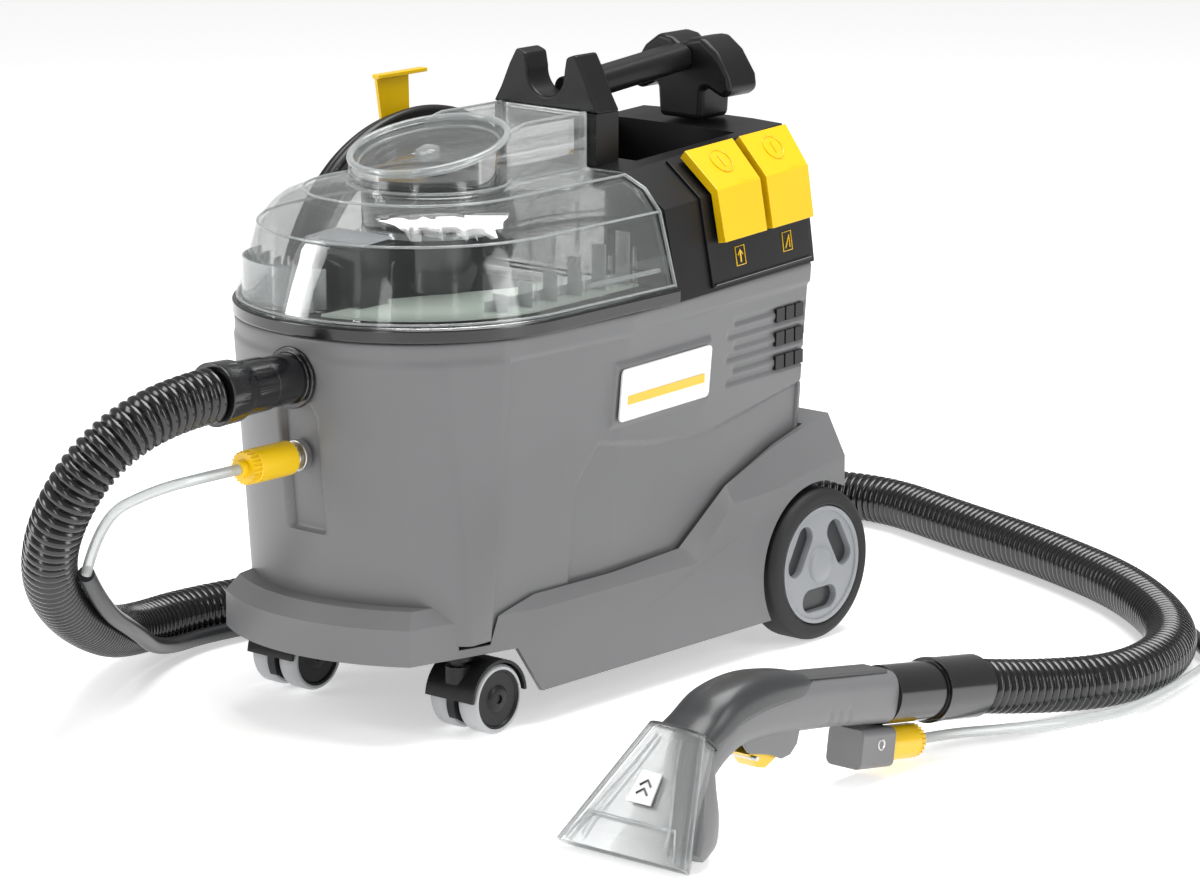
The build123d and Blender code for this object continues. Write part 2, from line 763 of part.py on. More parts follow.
# ----------------------------------------------------------- top housing ----
TOP_FRONT_Y = SPLIT_Y + TOP_GAP
with BuildPart() as top_housing:
    loft(
        [
            top_profile(TOP_FRONT_Y, 0, HOUSING_TOP_Z).face(),
            top_profile(TOP_REAR_Y, 0, HOUSING_TOP_Z).face(),
        ],
        ruled=True,
    )
    with BuildPart(mode=Mode.PRIVATE) as hollow:
        loft(
            [
                top_profile(TOP_FRONT_Y + 3, 3, HOUSING_TOP_Z - 1).face(),
                top_profile(TOP_REAR_Y - 3, 3, HOUSING_TOP_Z - 1).face(),
            ],
            ruled=True,
        )
        with BuildSketch(Plane.XY.offset(TRAY_FLOOR_Z - 3)):
            with Locations((0, (TRAY_FRONT_Y + TRAY_REAR_Y) / 2)):
                Rectangle(2 * TRAY_HALF + 6, TRAY_REAR_Y - TRAY_FRONT_Y + 6)
        extrude(amount=60, mode=Mode.SUBTRACT)
    add(hollow.part, mode=Mode.SUBTRACT)
    # storage tray
    with BuildSketch(Plane.XY.offset(TRAY_FLOOR_Z)):
        with Locations((0, (TRAY_FRONT_Y + TRAY_REAR_Y) / 2)):
            Rectangle(2 * TRAY_HALF, TRAY_REAR_Y - TRAY_FRONT_Y)
    extrude(amount=80, mode=Mode.SUBTRACT)
    # block under the front saddle
    with Locations((0, TOP_FRONT_Y + 12, 385)):
        Box(96, 24, 37)
    # boss for the cord hook
    with Locations((-112, COIL_Y, COIL_Z + COIL_R - 47)):
        Cylinder(11, 14, rotation=(0, 90, 0))
        Cylinder(HOOK_ARM_R + RUNNING, 60, rotation=(0, 90, 0), mode=Mode.SUBTRACT)
top_housing.part.label = "top_housing"

with BuildPart() as front_saddle:
    with BuildSketch(Plane(origin=(0, SADDLE_FRONT_Y, 0), x_dir=(1, 0, 0), z_dir=(0, -1, 0))):
        with BuildLine():
            Polyline(
                (17, TOP_Z - 10), (19, TOP_Z + 1), (28, TOP_Z + 4),
                (35, TOP_Z - 8), (43, TOP_Z - 25), (50, TOP_Z - 36.4),
                (-50, TOP_Z - 36.4), (-43, TOP_Z - 25), (-35, TOP_Z - 8),
                (-28, TOP_Z + 4), (-19, TOP_Z + 1), (-17, TOP_Z - 10),
            )
            ThreePointArc((-17, TOP_Z - 10), (0, TOP_Z - 28), (17, TOP_Z - 10))
        make_face()
    extrude(amount=-SADDLE_T)
front_saddle.part.label = "front_saddle"

HANDLE_END_Y = REAR_SADDLE_Y
with BuildPart() as handle_bar:
    ends = []
    for y, z in ((SADDLE_FRONT_Y + SADDLE_T, HANDLE_FRONT_Z), (HANDLE_END_Y, HANDLE_REAR_Z)):
        with BuildSketch(Plane(origin=(0, y, z), x_dir=(1, 0, 0), z_dir=(0, -1, 0))) as s:
            RectangleRounded(HANDLE_W, HANDLE_H - 4, 8)
        ends.append(s.sketch.face())
    loft(ends, ruled=True)
handle_bar.part.label = "handle_bar"

with BuildPart() as rear_saddle:
    with BuildSketch(Plane(origin=(0, REAR_SADDLE_Y, 0), x_dir=(1, 0, 0), z_dir=(0, -1, 0))):
        with BuildLine():
            half = [
                (0, TOP_Z - 8), (8, TOP_Z - 2), (20, TOP_Z), (34, TOP_Z - 10), (46, TOP_Z - 27),
                (48, TOP_Z - 38), (40, TOP_Z - 44), (22, TOP_Z - 36), (20, TOP_Z - 61.6),
            ]
            Polyline(*half, *[(-x, z) for x, z in reversed(half[1:])], close=True)
        make_face()
    extrude(amount=-REAR_SADDLE_T)
rear_saddle.part.label = "rear_saddle"


# ---------------------------------------------------------- switch panel ----
def side_band(y0, y1, lift, thick, low, high):
    """A bent plate over the top housing's right side between y0 and y1.

    It stands lift above the face, and low and high are how far along the
    lower and the upper slope it reaches, from 0 to 1.
    """
    faces = []
    for y in (y0, y1):
        a, b, c, _ = top_section(y)
        n1 = Vector(b[1] - a[1], a[0] - b[0]).normalized()
        n2 = Vector(c[1] - b[1], b[0] - c[0]).normalized()
        nb = (n1 + n2).normalized()
        p = Vector(mix(b[0], a[0], low), mix(b[1], a[1], low))
        q = Vector(mix(b[0], c[0], high), mix(b[1], c[1], high))
        m = Vector(*b)
        pts = [
            p + n1 * lift, m + nb * lift, q + n2 * lift,
            q + n2 * (lift + thick), m + nb * (lift + thick), p + n1 * (lift + thick),
        ]
        with BuildSketch(Plane(origin=(0, y, 0), x_dir=(1, 0, 0), z_dir=(0, -1, 0))) as s:
            with BuildLine():
                Polyline(*[(v.X, v.Y) for v in pts], close=True)
            make_face()
        faces.append(s.sketch.face())
    with BuildPart() as made:
        loft(faces, ruled=True)
    return made.part


PANEL_Y = (-16.0, 120.0)
PAD_YS = (-6.0, 58.0)
with BuildPart() as switch_panel:
    add(side_band(PANEL_Y[0], PANEL_Y[1], 0.1, PANEL_T, 0.96, 0.94))
switch_panel.part.label = "switch_panel"


def pad_pivot(y0):
    """The hinge line of a switch pad: its point and direction."""
    y1 = y0 + PAD_W
    b0, b1 = top_section(y0)[1], top_section(y1)[1]
    lift = PANEL_T + PAD_GAP + 1
    a = Vector(b0[0] + lift * 0.85, y0, b0[1] + lift * 0.5)
    b = Vector(b1[0] + lift * 0.85, y1, b1[1] + lift * 0.5)
    return a, (b - a).normalized()


with BuildPart() as vacuum_pad:
    add(side_band(PAD_YS[0], PAD_YS[0] + PAD_W, PANEL_T + PAD_GAP, PAD_T, 0.5, 0.86))
vacuum_pad.part.label = "vacuum_pad"
with BuildPart() as spray_pad:
    add(side_band(PAD_YS[1], PAD_YS[1] + PAD_W, PANEL_T + PAD_GAP, PAD_T, 0.5, 0.86))
spray_pad.part.label = "spray_pad"
print("pad pivots", [(tuple(a), tuple(d)) for a, d in map(pad_pivot, PAD_YS)])

with BuildPart() as switch_modules:
    for y0 in PAD_YS:
        with Locations((74, y0 + PAD_W / 2, 318)):
            Box(18, 32, 26)
switch_modules.part.label = "switch_modules"

# ----------------------------------------------------------- hose fittings ----
with BuildPart() as suction_port:
    with Locations((0, (PORT_END_Y + PORT_WALL_Y + WALL) / 2, PORT_Z)):
        Cylinder(PORT_R, PORT_WALL_Y + WALL - PORT_END_Y, rotation=(90, 0, 0))
    with Locations((0, PORT_WALL_Y - 2, PORT_Z)):
        Cylinder(PORT_R + 4, 4, rotation=(90, 0, 0))
    with Locations((0, -330, PORT_Z)):
        Cylinder(PORT_R - 3, 100, rotation=(90, 0, 0), mode=Mode.SUBTRACT)
suction_port.part.label = "suction_port"

with BuildPart() as hose_cuff:
    with BuildSketch(Plane.YZ):
        with BuildLine():
            Polyline(
                (PORT_END_Y, PORT_Z + PORT_R - 3),
                (PORT_END_Y, PORT_Z + PORT_R + 1),
                (PORT_END_Y - 22, PORT_Z + PORT_R + 1.5),
                (PORT_END_Y - 30, PORT_Z + PORT_R + 4),
                (CUFF_END_Y, PORT_Z + PORT_R + 4.5),
                (CUFF_END_Y, PORT_Z + PORT_R - 3),
                close=True,
            )
        make_face()
    revolve(axis=Axis((0, 0, PORT_Z), (0, 1, 0)))
hose_cuff.part.label = "hose_cuff"

with BuildPart() as spray_nipple:
    with Locations((0, SPRAY_WALL_Y - 5, SPRAY_Z)):
        Cylinder(6, 38, rotation=(90, 0, 0))
    with Locations((0, SPRAY_WALL_Y - 3, SPRAY_Z)):
        Cylinder(11, 6, rotation=(90, 0, 0))
spray_nipple.part.label = "spray_nipple"


def coupling_body(length):
    """A quick coupling: grip sleeve, knurled nut and hose tail, along -Y."""
    with BuildPart() as made:
        with Locations((0, -length / 2 + 6, 0)):
            Cylinder(COUPLING_R, length - 12, rotation=(90, 0, 0))
        with Locations((0, -length + 10, 0)):
            Cylinder(COUPLING_R - 2.5, 8, rotation=(90, 0, 0))
        with Locations((0, -length + 3, 0)):
            Cylinder(COUPLING_R - 6, 6, rotation=(90, 0, 0))
        with Locations((0, 0, 0)):
            Cylinder(6.2, 26, rotation=(90, 0, 0), mode=Mode.SUBTRACT)
    return made.part


COUPLING_Y = SPRAY_WALL_Y - 12.5
with BuildPart() as machine_coupling:
    add(
        coupling_body(COUPLING_Y - COUPLING_END_Y).moved(
            Location((0, COUPLING_Y, SPRAY_Z))
        )
    )
machine_coupling.part.label = "machine_coupling"

# ------------------------------------------------------------- the hoses ----
HOSE_ROUTE = [
    (0, CUFF_END_Y, PORT_Z),
    (-4, -437, 248),
    (-20, -482, 222),
    (-45, -497, 176),
    (-76, -478, 130),
    (-112, -428, 90),
    (-160, -352, 52),
    (-212, -276, 26),
    (-236, -188, 20),
    (-206, -64, 20),
    (-208, 80, 20),
    (-228, 216, 20),
    (-196, 362, 20),
    (-92, 438, 20),
    (34, 398, 20),
    (146, 364, 20),
    (262, 312, 20),
    (366, 218, 20),
    (396, 112, 20),
    (372, 22, 28),
    (TOOL_X, TOOL_REAR[0], TOOL_REAR[1]),
]


def beside_hose(first, last, over, reach):
    """Points beside the hose: on its right until the point over, then left.

    At the point over they lie on top of it.
    """
    pts = []
    for i in range(first, last + 1):
        a, b, c = (Vector(*HOSE_ROUTE[j]) for j in (i - 1, i, i + 1))
        t = ((b - a).normalized() + (c - b).normalized()).normalized()
        flat = t.cross(Vector(0, 0, 1)).normalized()
        if i < over:
            drop = -0.45 if b.Z < 30 else 0.0
            d = flat * sqrt(1 - drop * drop) + Vector(0, 0, drop)
        elif i == over:
            d = Vector(0, 0, 1)
        else:
            d = flat * -0.893 + Vector(0, 0, -0.45)
        p = b + d * reach
        pts.append((p.X, p.Y, p.Z))
    return pts


REACH = (HOSE_D + STRIP_D) / 2 + 1.5
STRIP_ROUTE = beside_hose(4, 17, 12, REACH)
COUPLING_TAIL = (0, COUPLING_END_Y, SPRAY_Z)
FRONT_SPRAY_ROUTE = [
    COUPLING_TAIL,
    (-1, COUPLING_END_Y - 32, SPRAY_Z),
    (-14, COUPLING_END_Y - 66, SPRAY_Z - 5),
    (-40, COUPLING_END_Y - 90, SPRAY_Z - 23),
    STRIP_ROUTE[0],
]


def tube(route, diameter, name):
    """A tube along a route of straight runs joined by tangent arcs."""
    radii = bend_radii(route)
    with BuildPart() as made:
        with BuildLine() as path:
            FilletPolyline(*route, radius=radii)
        with BuildSketch(start_plane(route)):
            Circle(diameter / 2)
        sweep()
    length = sum(edge.length for edge in path.edges())
    want = pi * diameter**2 / 4 * length
    print(
        name, "length", round(length), "radii", [round(r) for r in radii],
        "volume/expected", round(made.part.volume / want, 4),
    )
    return made.part


with BuildPart() as suction_hose:
    add(tube(HOSE_ROUTE, HOSE_D, "suction_hose"))
suction_hose.part.label = "suction_hose"
with BuildPart() as spray_strip:
    add(tube(STRIP_ROUTE, STRIP_D, "spray_strip"))
spray_strip.part.label = "spray_strip"
with BuildPart() as spray_tube_front:
    add(tube(FRONT_SPRAY_ROUTE, SPRAY_D, "spray_tube_front"))
spray_tube_front.part.label = "spray_tube_front"


# ------------------------------------------------------------- mains cord ----
COIL_IN = COIL_R - COIL_STRANDS * CORD_D
with BuildPart() as cord_coil:
    with Locations((COIL_X, COIL_Y, COIL_Z)):
        Cylinder(COIL_R, 2 * CORD_D, rotation=(0, 90, 0))
        Cylinder(COIL_IN, 3 * CORD_D, rotation=(0, 90, 0), mode=Mode.SUBTRACT)
cord_coil.part.label = "cord_coil"

GLAND = (-70.0, 132.0, 200.0)
LEAD_ROUTE = [
    GLAND,
    (-72, 148, 200),
    (-92, 164, 200),
    (-122, 156, 202),
    (COIL_X, 128, 212),
    (COIL_X, COIL_Y + COIL_R - 4, 236),
]
with BuildPart() as cord_lead:
    add(tube(LEAD_ROUTE, CORD_D, "cord_lead"))
cord_lead.part.label = "cord_lead"

with BuildPart() as cord_gland:
    with Locations((GLAND[0], GLAND[1] - 12, GLAND[2])):
        Cylinder(8, 24, rotation=(90, 0, 0))
cord_gland.part.label = "cord_gland"

PLUG = (COIL_X, COIL_Y + 6.0, COIL_Z - 4.0)
TAIL_ROUTE = [
    (COIL_X, COIL_Y + 52, COIL_Z + COIL_IN - 14),
    (COIL_X, COIL_Y + 34, COIL_Z + 72),
    (COIL_X, COIL_Y + 12, COIL_Z + 52),
    (PLUG[0], PLUG[1], PLUG[2] + 20),
]
with BuildPart() as cord_tail:
    add(tube(TAIL_ROUTE, CORD_D, "cord_tail"))
cord_tail.part.label = "cord_tail"

with BuildPart() as mains_plug:
    with Locations((PLUG[0], PLUG[1], PLUG[2] + 8)):
        Cylinder(8, 24)
    with Locations((PLUG[0], PLUG[1], PLUG[2] - 16)):
        Cylinder(15, 26)
    with Locations((PLUG[0], PLUG[1], PLUG[2] - 36)):
        with GridLocations(0, 19, 1, 2):
            Cylinder(2.4, 18)
mains_plug.part.label = "mains_plug"

HOOK_Z = COIL_Z + COIL_R - 47
HOOK_OUT_X = COIL_X - 2 * CORD_D / 2 - 5
with BuildPart() as cord_hook:
    # arm under the coil, tongue outside it and a lip back over it
    with Locations(((HOOK_OUT_X - 104) / 2, COIL_Y, HOOK_Z)):
        Cylinder(HOOK_ARM_R, -104 - HOOK_OUT_X, rotation=(0, 90, 0))
    with BuildSketch(Plane.YZ.offset(HOOK_OUT_X)):
        with BuildLine():
            Polyline(
                (COIL_Y - 14, HOOK_Z - 10), (COIL_Y + 10, HOOK_Z - 10),
                (COIL_Y + 8, HOOK_Z + 64), (COIL_Y - 26, HOOK_Z + 64), close=True,
            )
        make_face()
    extrude(amount=-3)
    with Locations((HOOK_OUT_X - 0.5, COIL_Y - 1, HOOK_Z + 65)):
        Box(7, 52, 3)
cord_hook.part.label = "cord_hook"

LOW_HOOK_Z = COIL_Z - COIL_IN + HOOK_ARM_R + 1
with BuildPart() as lower_hook:
    with Locations(((HOOK_OUT_X - 106) / 2, COIL_Y, LOW_HOOK_Z)):
        Cylinder(HOOK_ARM_R, -106 - HOOK_OUT_X, rotation=(0, 90, 0))
    with Locations((HOOK_OUT_X - 1.5, COIL_Y, LOW_HOOK_Z - 8)):
        Box(3, 26, 34)
lower_hook.part.label = "lower_hook"

# -------------------------------------------------------------- hand tool ----
with BuildPart() as tool_cuff:
    # two sleeves of the hose end, one turning in the other
    with BuildSketch(tool_plane(0)):
        Circle(TOOL_R + 3.5)
    extrude(amount=46)
    with BuildSketch(tool_plane(46)):
        Circle(TOOL_R + 1.5)
    extrude(amount=CUFF_L - 46 - GAP)
    with BuildSketch(tool_plane(46)):
        Circle(TOOL_R + 4)
    extrude(amount=5)
    with BuildSketch(tool_plane(-1)):
        Circle(TOOL_R - 3)
    extrude(amount=CUFF_L + 2, mode=Mode.SUBTRACT)
tool_cuff.part.label = "tool_cuff"

with BuildPart() as tool_handle:
    with BuildSketch(tool_plane(CUFF_L), mode=Mode.PRIVATE) as rear:
        RectangleRounded(2 * TOOL_R - 3, 2 * TOOL_R + 1, 12)
    with BuildSketch(tool_plane(CUFF_L + HANDLE_L), mode=Mode.PRIVATE) as front:
        RectangleRounded(2 * TOOL_R - 5, 2 * TOOL_R - 1, 12)
    loft([rear.sketch.face(), front.sketch.face()], ruled=True)
    with BuildSketch(tool_plane(CUFF_L - 1)):
        Circle(TOOL_R - 5)
    extrude(amount=HANDLE_L + 2, mode=Mode.SUBTRACT)
    # seat of the grip pad
    with BuildSketch(tool_plane(CUFF_L + 6)):
        with Locations((0, TOOL_R - 0.5)):
            Rectangle(22, 2.6)
    extrude(amount=HANDLE_L - 20, mode=Mode.SUBTRACT)
tool_handle.part.label = "tool_handle"

with BuildPart() as grip_pad:
    with BuildSketch(tool_plane(CUFF_L + 6.3)):
        with Locations((0, TOOL_R - 0.2)):
            Rectangle(21.4, 2.6)
    extrude(amount=HANDLE_L - 20.6)
grip_pad.part.label = "grip_pad"

NECK_SECTIONS = (
    # centre y, centre z, width, height, turn down in degrees
    (*along_tool(CUFF_L + HANDLE_L + GAP), 2 * TOOL_R - 4, 2 * TOOL_R, -TOOL_SLOPE),
    (-276.0, 78.0, 38.0, 40.0, 6.0),
    (-308.0, 80.0, 40.0, 38.0, 32.0),
    (NECK_Y, 68.0, 42.0, 34.0, 50.0),
)
with BuildPart() as tool_neck:
    sections = []
    for y, z, w, h, turn in NECK_SECTIONS:
        a = radians(turn)
        where = Plane(origin=(TOOL_X, y, z), x_dir=(1, 0, 0), z_dir=(0, -cos(a), -sin(a)))
        with BuildSketch(where) as s:
            RectangleRounded(w, h, 10)
        sections.append(s.sketch.face())
    loft(sections, ruled=True)
    hollow_sections = []
    for y, z, w, h, turn in NECK_SECTIONS:
        a = radians(turn)
        where = Plane(origin=(TOOL_X, y, z), x_dir=(1, 0, 0), z_dir=(0, -cos(a), -sin(a)))
        with BuildSketch(where) as s:
            RectangleRounded(w - 10, h - 10, 6)
        hollow_sections.append(s.sketch.face())
    loft(hollow_sections, ruled=True, mode=Mode.SUBTRACT)
tool_neck.part.label = "tool_neck"

HEAD_TILT = 50.0
HEAD_LEAD = Vector(0, -cos(radians(HEAD_TILT)), -sin(radians(HEAD_TILT)))
NECK_END = Vector(TOOL_X, NECK_Y, 68.0)


def head_section(s, w, h, z_shift=0.0, r=4.0):
    """A section of the suction head, s beyond the neck's end."""
    p = NECK_END + HEAD_LEAD * s
    where = Plane(origin=(p.X, p.Y, p.Z), x_dir=(1, 0, 0), z_dir=HEAD_LEAD)
    with BuildSketch(where) as sk:
        with Locations((0, z_shift)):
            RectangleRounded(w, h, r)
    return sk.sketch.face()


with BuildPart() as head_window:
    loft(
        [head_section(0.4, 44, 22, 6), head_section(HEAD_L, HEAD_W, 10, 8)],
        ruled=True,
    )
    loft(
        [head_section(0.3, 39, 17, 6, 3), head_section(HEAD_L + 0.1, HEAD_W - 5, 6, 8, 2)],
        ruled=True,
        mode=Mode.SUBTRACT,
    )
head_window.part.label = "head_window"

with BuildPart() as head_back:
    loft(
        [head_section(0.4, 40, 9.6, -10.4, 3), head_section(HEAD_L - 18, HEAD_W - 2, 20, -8.6, 4)],
        ruled=True,
    )
    loft(
        [head_section(6, 34, 5, -10.4, 2), head_section(HEAD_L - 17.9, HEAD_W - 8, 14, -8.6, 3)],
        ruled=True,
        mode=Mode.SUBTRACT,
    )
head_back.part.label = "head_back"

TRIGGER_Y, TRIGGER_Z = -262.0, 46.0
with BuildPart() as tool_trigger:
    with BuildSketch(Plane.YZ.offset(TOOL_X - 8)):
        with BuildLine():
            Polyline(
                (TRIGGER_Y - 20, TRIGGER_Z + 1), (TRIGGER_Y + 14, TRIGGER_Z),
                (TRIGGER_Y + 12, TRIGGER_Z - 6), (TRIGGER_Y - 2, TRIGGER_Z - 12),
                (TRIGGER_Y - 10, TRIGGER_Z - 10), close=True,
            )
        make_face()
    extrude(amount=16)
    with Locations((TOOL_X, TRIGGER_Y - 16, TRIGGER_Z - 2)):
        Cylinder(1.5 + RUNNING, 40, rotation=(0, 90, 0), mode=Mode.SUBTRACT)
tool_trigger.part.label = "tool_trigger"

with BuildPart() as trigger_guard:
    # cheeks either side of the trigger with its pin
    for sgn in (1, -1):
        with BuildSketch(Plane.YZ.offset(TOOL_X + sgn * 10 - 1.2)):
            with BuildLine():
                Polyline(
                    (TRIGGER_Y - 28, TRIGGER_Z + 14), (TRIGGER_Y - 6, TRIGGER_Z + 11),
                    (TRIGGER_Y - 9, TRIGGER_Z - 5), (TRIGGER_Y - 22, TRIGGER_Z - 5), close=True,
                )
            make_face()
        extrude(amount=2.4)
    with Locations((TOOL_X, TRIGGER_Y - 16, TRIGGER_Z - 2)):
        Cylinder(1.5, 22, rotation=(0, 90, 0))
trigger_guard.part.label = "trigger_guard"

VALVE_S = CUFF_L + 14
VALVE_DROP = TOOL_R + 15
with BuildPart() as valve_block:
    y, z = along_tool(VALVE_S, VALVE_DROP)
    a = radians(TOOL_SLOPE)
    where = Plane(origin=(TOOL_X, y, z), x_dir=(1, 0, 0), z_dir=(0, -cos(a), sin(a)))
    with BuildSketch(where.offset(-19)):
        RectangleRounded(30, 27, 5)
    extrude(amount=36)
    with BuildSketch(where.offset(-20)):
        Circle(6 + GAP)
    extrude(amount=12, mode=Mode.SUBTRACT)
valve_block.part.label = "valve_block"

VALVE_BACK = along_tool(VALVE_S - 19, VALVE_DROP)
with BuildPart() as tool_coupling:
    # its nose enters the valve block; the tail points back towards the hose
    a = radians(TOOL_SLOPE)
    where = Plane(
        origin=(TOOL_X, *VALVE_BACK), x_dir=(1, 0, 0), z_dir=(0, cos(a), -sin(a))
    )
    with BuildSketch(where.offset(-10)):
        Circle(6)
    extrude(amount=11)
    with BuildSketch(where.offset(0.5)):
        Circle(COUPLING_R)
    extrude(amount=34)
    with BuildSketch(where.offset(34.5)):
        Circle(COUPLING_R - 3)
    extrude(amount=7)
    with BuildSketch(where.offset(41.5)):
        Circle(COUPLING_R - 6.5)
    extrude(amount=6)
tool_coupling.part.label = "tool_coupling"

TAIL = (
    VALVE_BACK[0] + 47.5 * cos(radians(TOOL_SLOPE)),
    VALVE_BACK[1] - 47.5 * sin(radians(TOOL_SLOPE)),
)
STRIP_END = STRIP_ROUTE[-1]
TOOL_SPRAY_ROUTE = [
    (TOOL_X, *TAIL),
    (TOOL_X + 3, TAIL[0] + 30, TAIL[1] - 2),
    (TOOL_X + 18, TAIL[0] + 66, 9),
    (TOOL_X + 40, TAIL[0] + 112, 8),
    (TOOL_X + 60, TAIL[0] + 190, 8),
    STRIP_END,
]
with BuildPart() as spray_tube_tool:
    add(tube(TOOL_SPRAY_ROUTE, SPRAY_D, "spray_tube_tool"))
spray_tube_tool.part.label = "spray_tube_tool"

with BuildPart() as spray_jet:
    p = NECK_END + HEAD_LEAD * 30
    where = Plane(origin=(p.X, p.Y, p.Z), x_dir=(1, 0, 0), z_dir=HEAD_LEAD)
    with BuildSketch(where):
        with Locations((0, -9.4)):
            Circle(3.5)
    extrude(amount=14)
spray_jet.part.label = "spray_jet"

# ----------------------------------------------------------------- export ----
export_step(chassis.part, "parts/chassis.step")
export_step(base_plate.part, "parts/base_plate.step")
export_step(rear_axle.part, "parts/rear_axle.step")
export_step(tyre_right.part, "parts/tyre_right.step")
export_step(tyre_left.part, "parts/tyre_left.step")
export_step(rim_right.part, "parts/rim_right.step")
export_step(rim_left.part, "parts/rim_left.step")
export_step(caster_fork_right.part, "parts/caster_fork_right.step")
export_step(caster_fork_left.part, "parts/caster_fork_left.step")
export_step(caster_wheels_right.part, "parts/caster_wheels_right.step")
export_step(caster_wheels_left.part, "parts/caster_wheels_left.step")
export_step(lower_housing.part, "parts/lower_housing.step")
export_step(label_plate.part, "parts/label_plate.step")
export_step(vent_grille.part, "parts/vent_grille.step")
export_step(fresh_tank.part, "parts/fresh_tank.step")
export_step(turbine_housing.part, "parts/turbine_housing.step")
export_step(turbine_motor.part, "parts/turbine_motor.step")
export_step(turbine_fan.part, "parts/turbine_fan.step")
export_step(spray_pump.part, "parts/spray_pump.step")
export_step(waste_tank.part, "parts/waste_tank.step")
export_step(tank_rim.part, "parts/tank_rim.step")
export_step(tank_deck.part, "parts/tank_deck.step")
export_step(standpipe.part, "parts/standpipe.step")
export_step(float_ball.part, "parts/float_ball.step")
export_step(inlet_block.part, "parts/inlet_block.step")
export_step(tank_lid.part, "parts/tank_lid.step")
export_step(top_housing.part, "parts/top_housing.step")
export_step(front_saddle.part, "parts/front_saddle.step")
export_step(handle_bar.part, "parts/handle_bar.step")
export_step(rear_saddle.part, "parts/rear_saddle.step")
export_step(switch_panel.part, "parts/switch_panel.step")
export_step(vacuum_pad.part, "parts/vacuum_pad.step")
export_step(spray_pad.part, "parts/spray_pad.step")
export_step(switch_modules.part, "parts/switch_modules.step")
export_step(suction_port.part, "parts/suction_port.step")
export_step(hose_cuff.part, "parts/hose_cuff.step")
export_step(spray_nipple.part, "parts/spray_nipple.step")
export_step(machine_coupling.part, "parts/machine_coupling.step")
export_step(suction_hose.part, "parts/suction_hose.step")
export_step(spray_strip.part, "parts/spray_strip.step")
export_step(spray_tube_front.part, "parts/spray_tube_front.step")
export_step(cord_coil.part, "parts/cord_coil.step")
export_step(cord_lead.part, "parts/cord_lead.step")
export_step(cord_gland.part, "parts/cord_gland.step")
export_step(cord_tail.part, "parts/cord_tail.step")
export_step(mains_plug.part, "parts/mains_plug.step")
export_step(cord_hook.part, "parts/cord_hook.step")
export_step(lower_hook.part, "parts/lower_hook.step")
export_step(tool_cuff.part, "parts/tool_cuff.step")
export_step(tool_handle.part, "parts/tool_handle.step")
export_step(grip_pad.part, "parts/grip_pad.step")
export_step(tool_neck.part, "parts/tool_neck.step")
export_step(head_window.part, "parts/head_window.step")
export_step(head_back.part, "parts/head_back.step")
export_step(tool_trigger.part, "parts/tool_trigger.step")
export_step(trigger_guard.part, "parts/trigger_guard.step")
export_step(valve_block.part, "parts/valve_block.step")
export_step(tool_coupling.part, "parts/tool_coupling.step")
export_step(spray_tube_tool.part, "parts/spray_tube_tool.step")
export_step(spray_jet.part, "parts/spray_jet.step")
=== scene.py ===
"""The looks of a wheeled spot extractor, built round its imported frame.

Sizes and routes are in millimetres, and MM turns them into the frame's metres.
"""

import json
import math
import random

import bmesh
import bpy
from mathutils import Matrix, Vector


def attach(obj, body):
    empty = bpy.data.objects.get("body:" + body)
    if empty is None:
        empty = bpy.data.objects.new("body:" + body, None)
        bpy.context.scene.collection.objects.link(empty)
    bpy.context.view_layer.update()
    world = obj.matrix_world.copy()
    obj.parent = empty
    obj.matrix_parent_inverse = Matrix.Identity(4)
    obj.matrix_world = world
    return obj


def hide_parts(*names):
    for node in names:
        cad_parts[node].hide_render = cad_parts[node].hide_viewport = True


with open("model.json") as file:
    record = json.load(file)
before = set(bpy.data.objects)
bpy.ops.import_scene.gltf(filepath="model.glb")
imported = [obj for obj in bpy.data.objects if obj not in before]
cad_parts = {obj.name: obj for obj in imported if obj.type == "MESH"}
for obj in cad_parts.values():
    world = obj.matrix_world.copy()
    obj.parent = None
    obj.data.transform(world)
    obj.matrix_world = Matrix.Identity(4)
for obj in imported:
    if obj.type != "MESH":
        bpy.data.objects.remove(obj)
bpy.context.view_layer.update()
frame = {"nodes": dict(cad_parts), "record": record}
MM = 0.001


# ---------------------------------------------------------------- camera ----
def make_camera():
    """A long lens from the front right, a little above the lid."""
    data = bpy.data.cameras.new("camera")
    data.sensor_width = 36.0
    data.lens = 149.9
    data.clip_end = 50.0
    camera = bpy.data.objects.new("camera", data)
    camera.location = (2.3246, -2.6850, 0.9525)
    aim = Vector((0.0, -0.0001, 0.1465)) - camera.location
    camera.rotation_euler = aim.to_track_quat("-Z", "Y").to_euler()
    bpy.context.scene.collection.objects.link(camera)
    bpy.context.scene.camera = camera


make_camera()


# --------------------------------------------------------- shader helpers ----
class Field:
    """A shader socket that takes part in sums and products."""

    def __init__(self, finish, socket):
        self.finish = finish
        self.socket = socket

    def math(self, operation, first, second):
        return self.finish.node(
            "ShaderNodeMath", {"operation": operation}, {0: first, 1: second}
        )

    def __add__(self, other):
        return self.math("ADD", self, other)

    __radd__ = __add__

    def __mul__(self, other):
        return self.math("MULTIPLY", self, other)

    __rmul__ = __mul__

    def __pow__(self, other):
        return self.math("POWER", self, other)


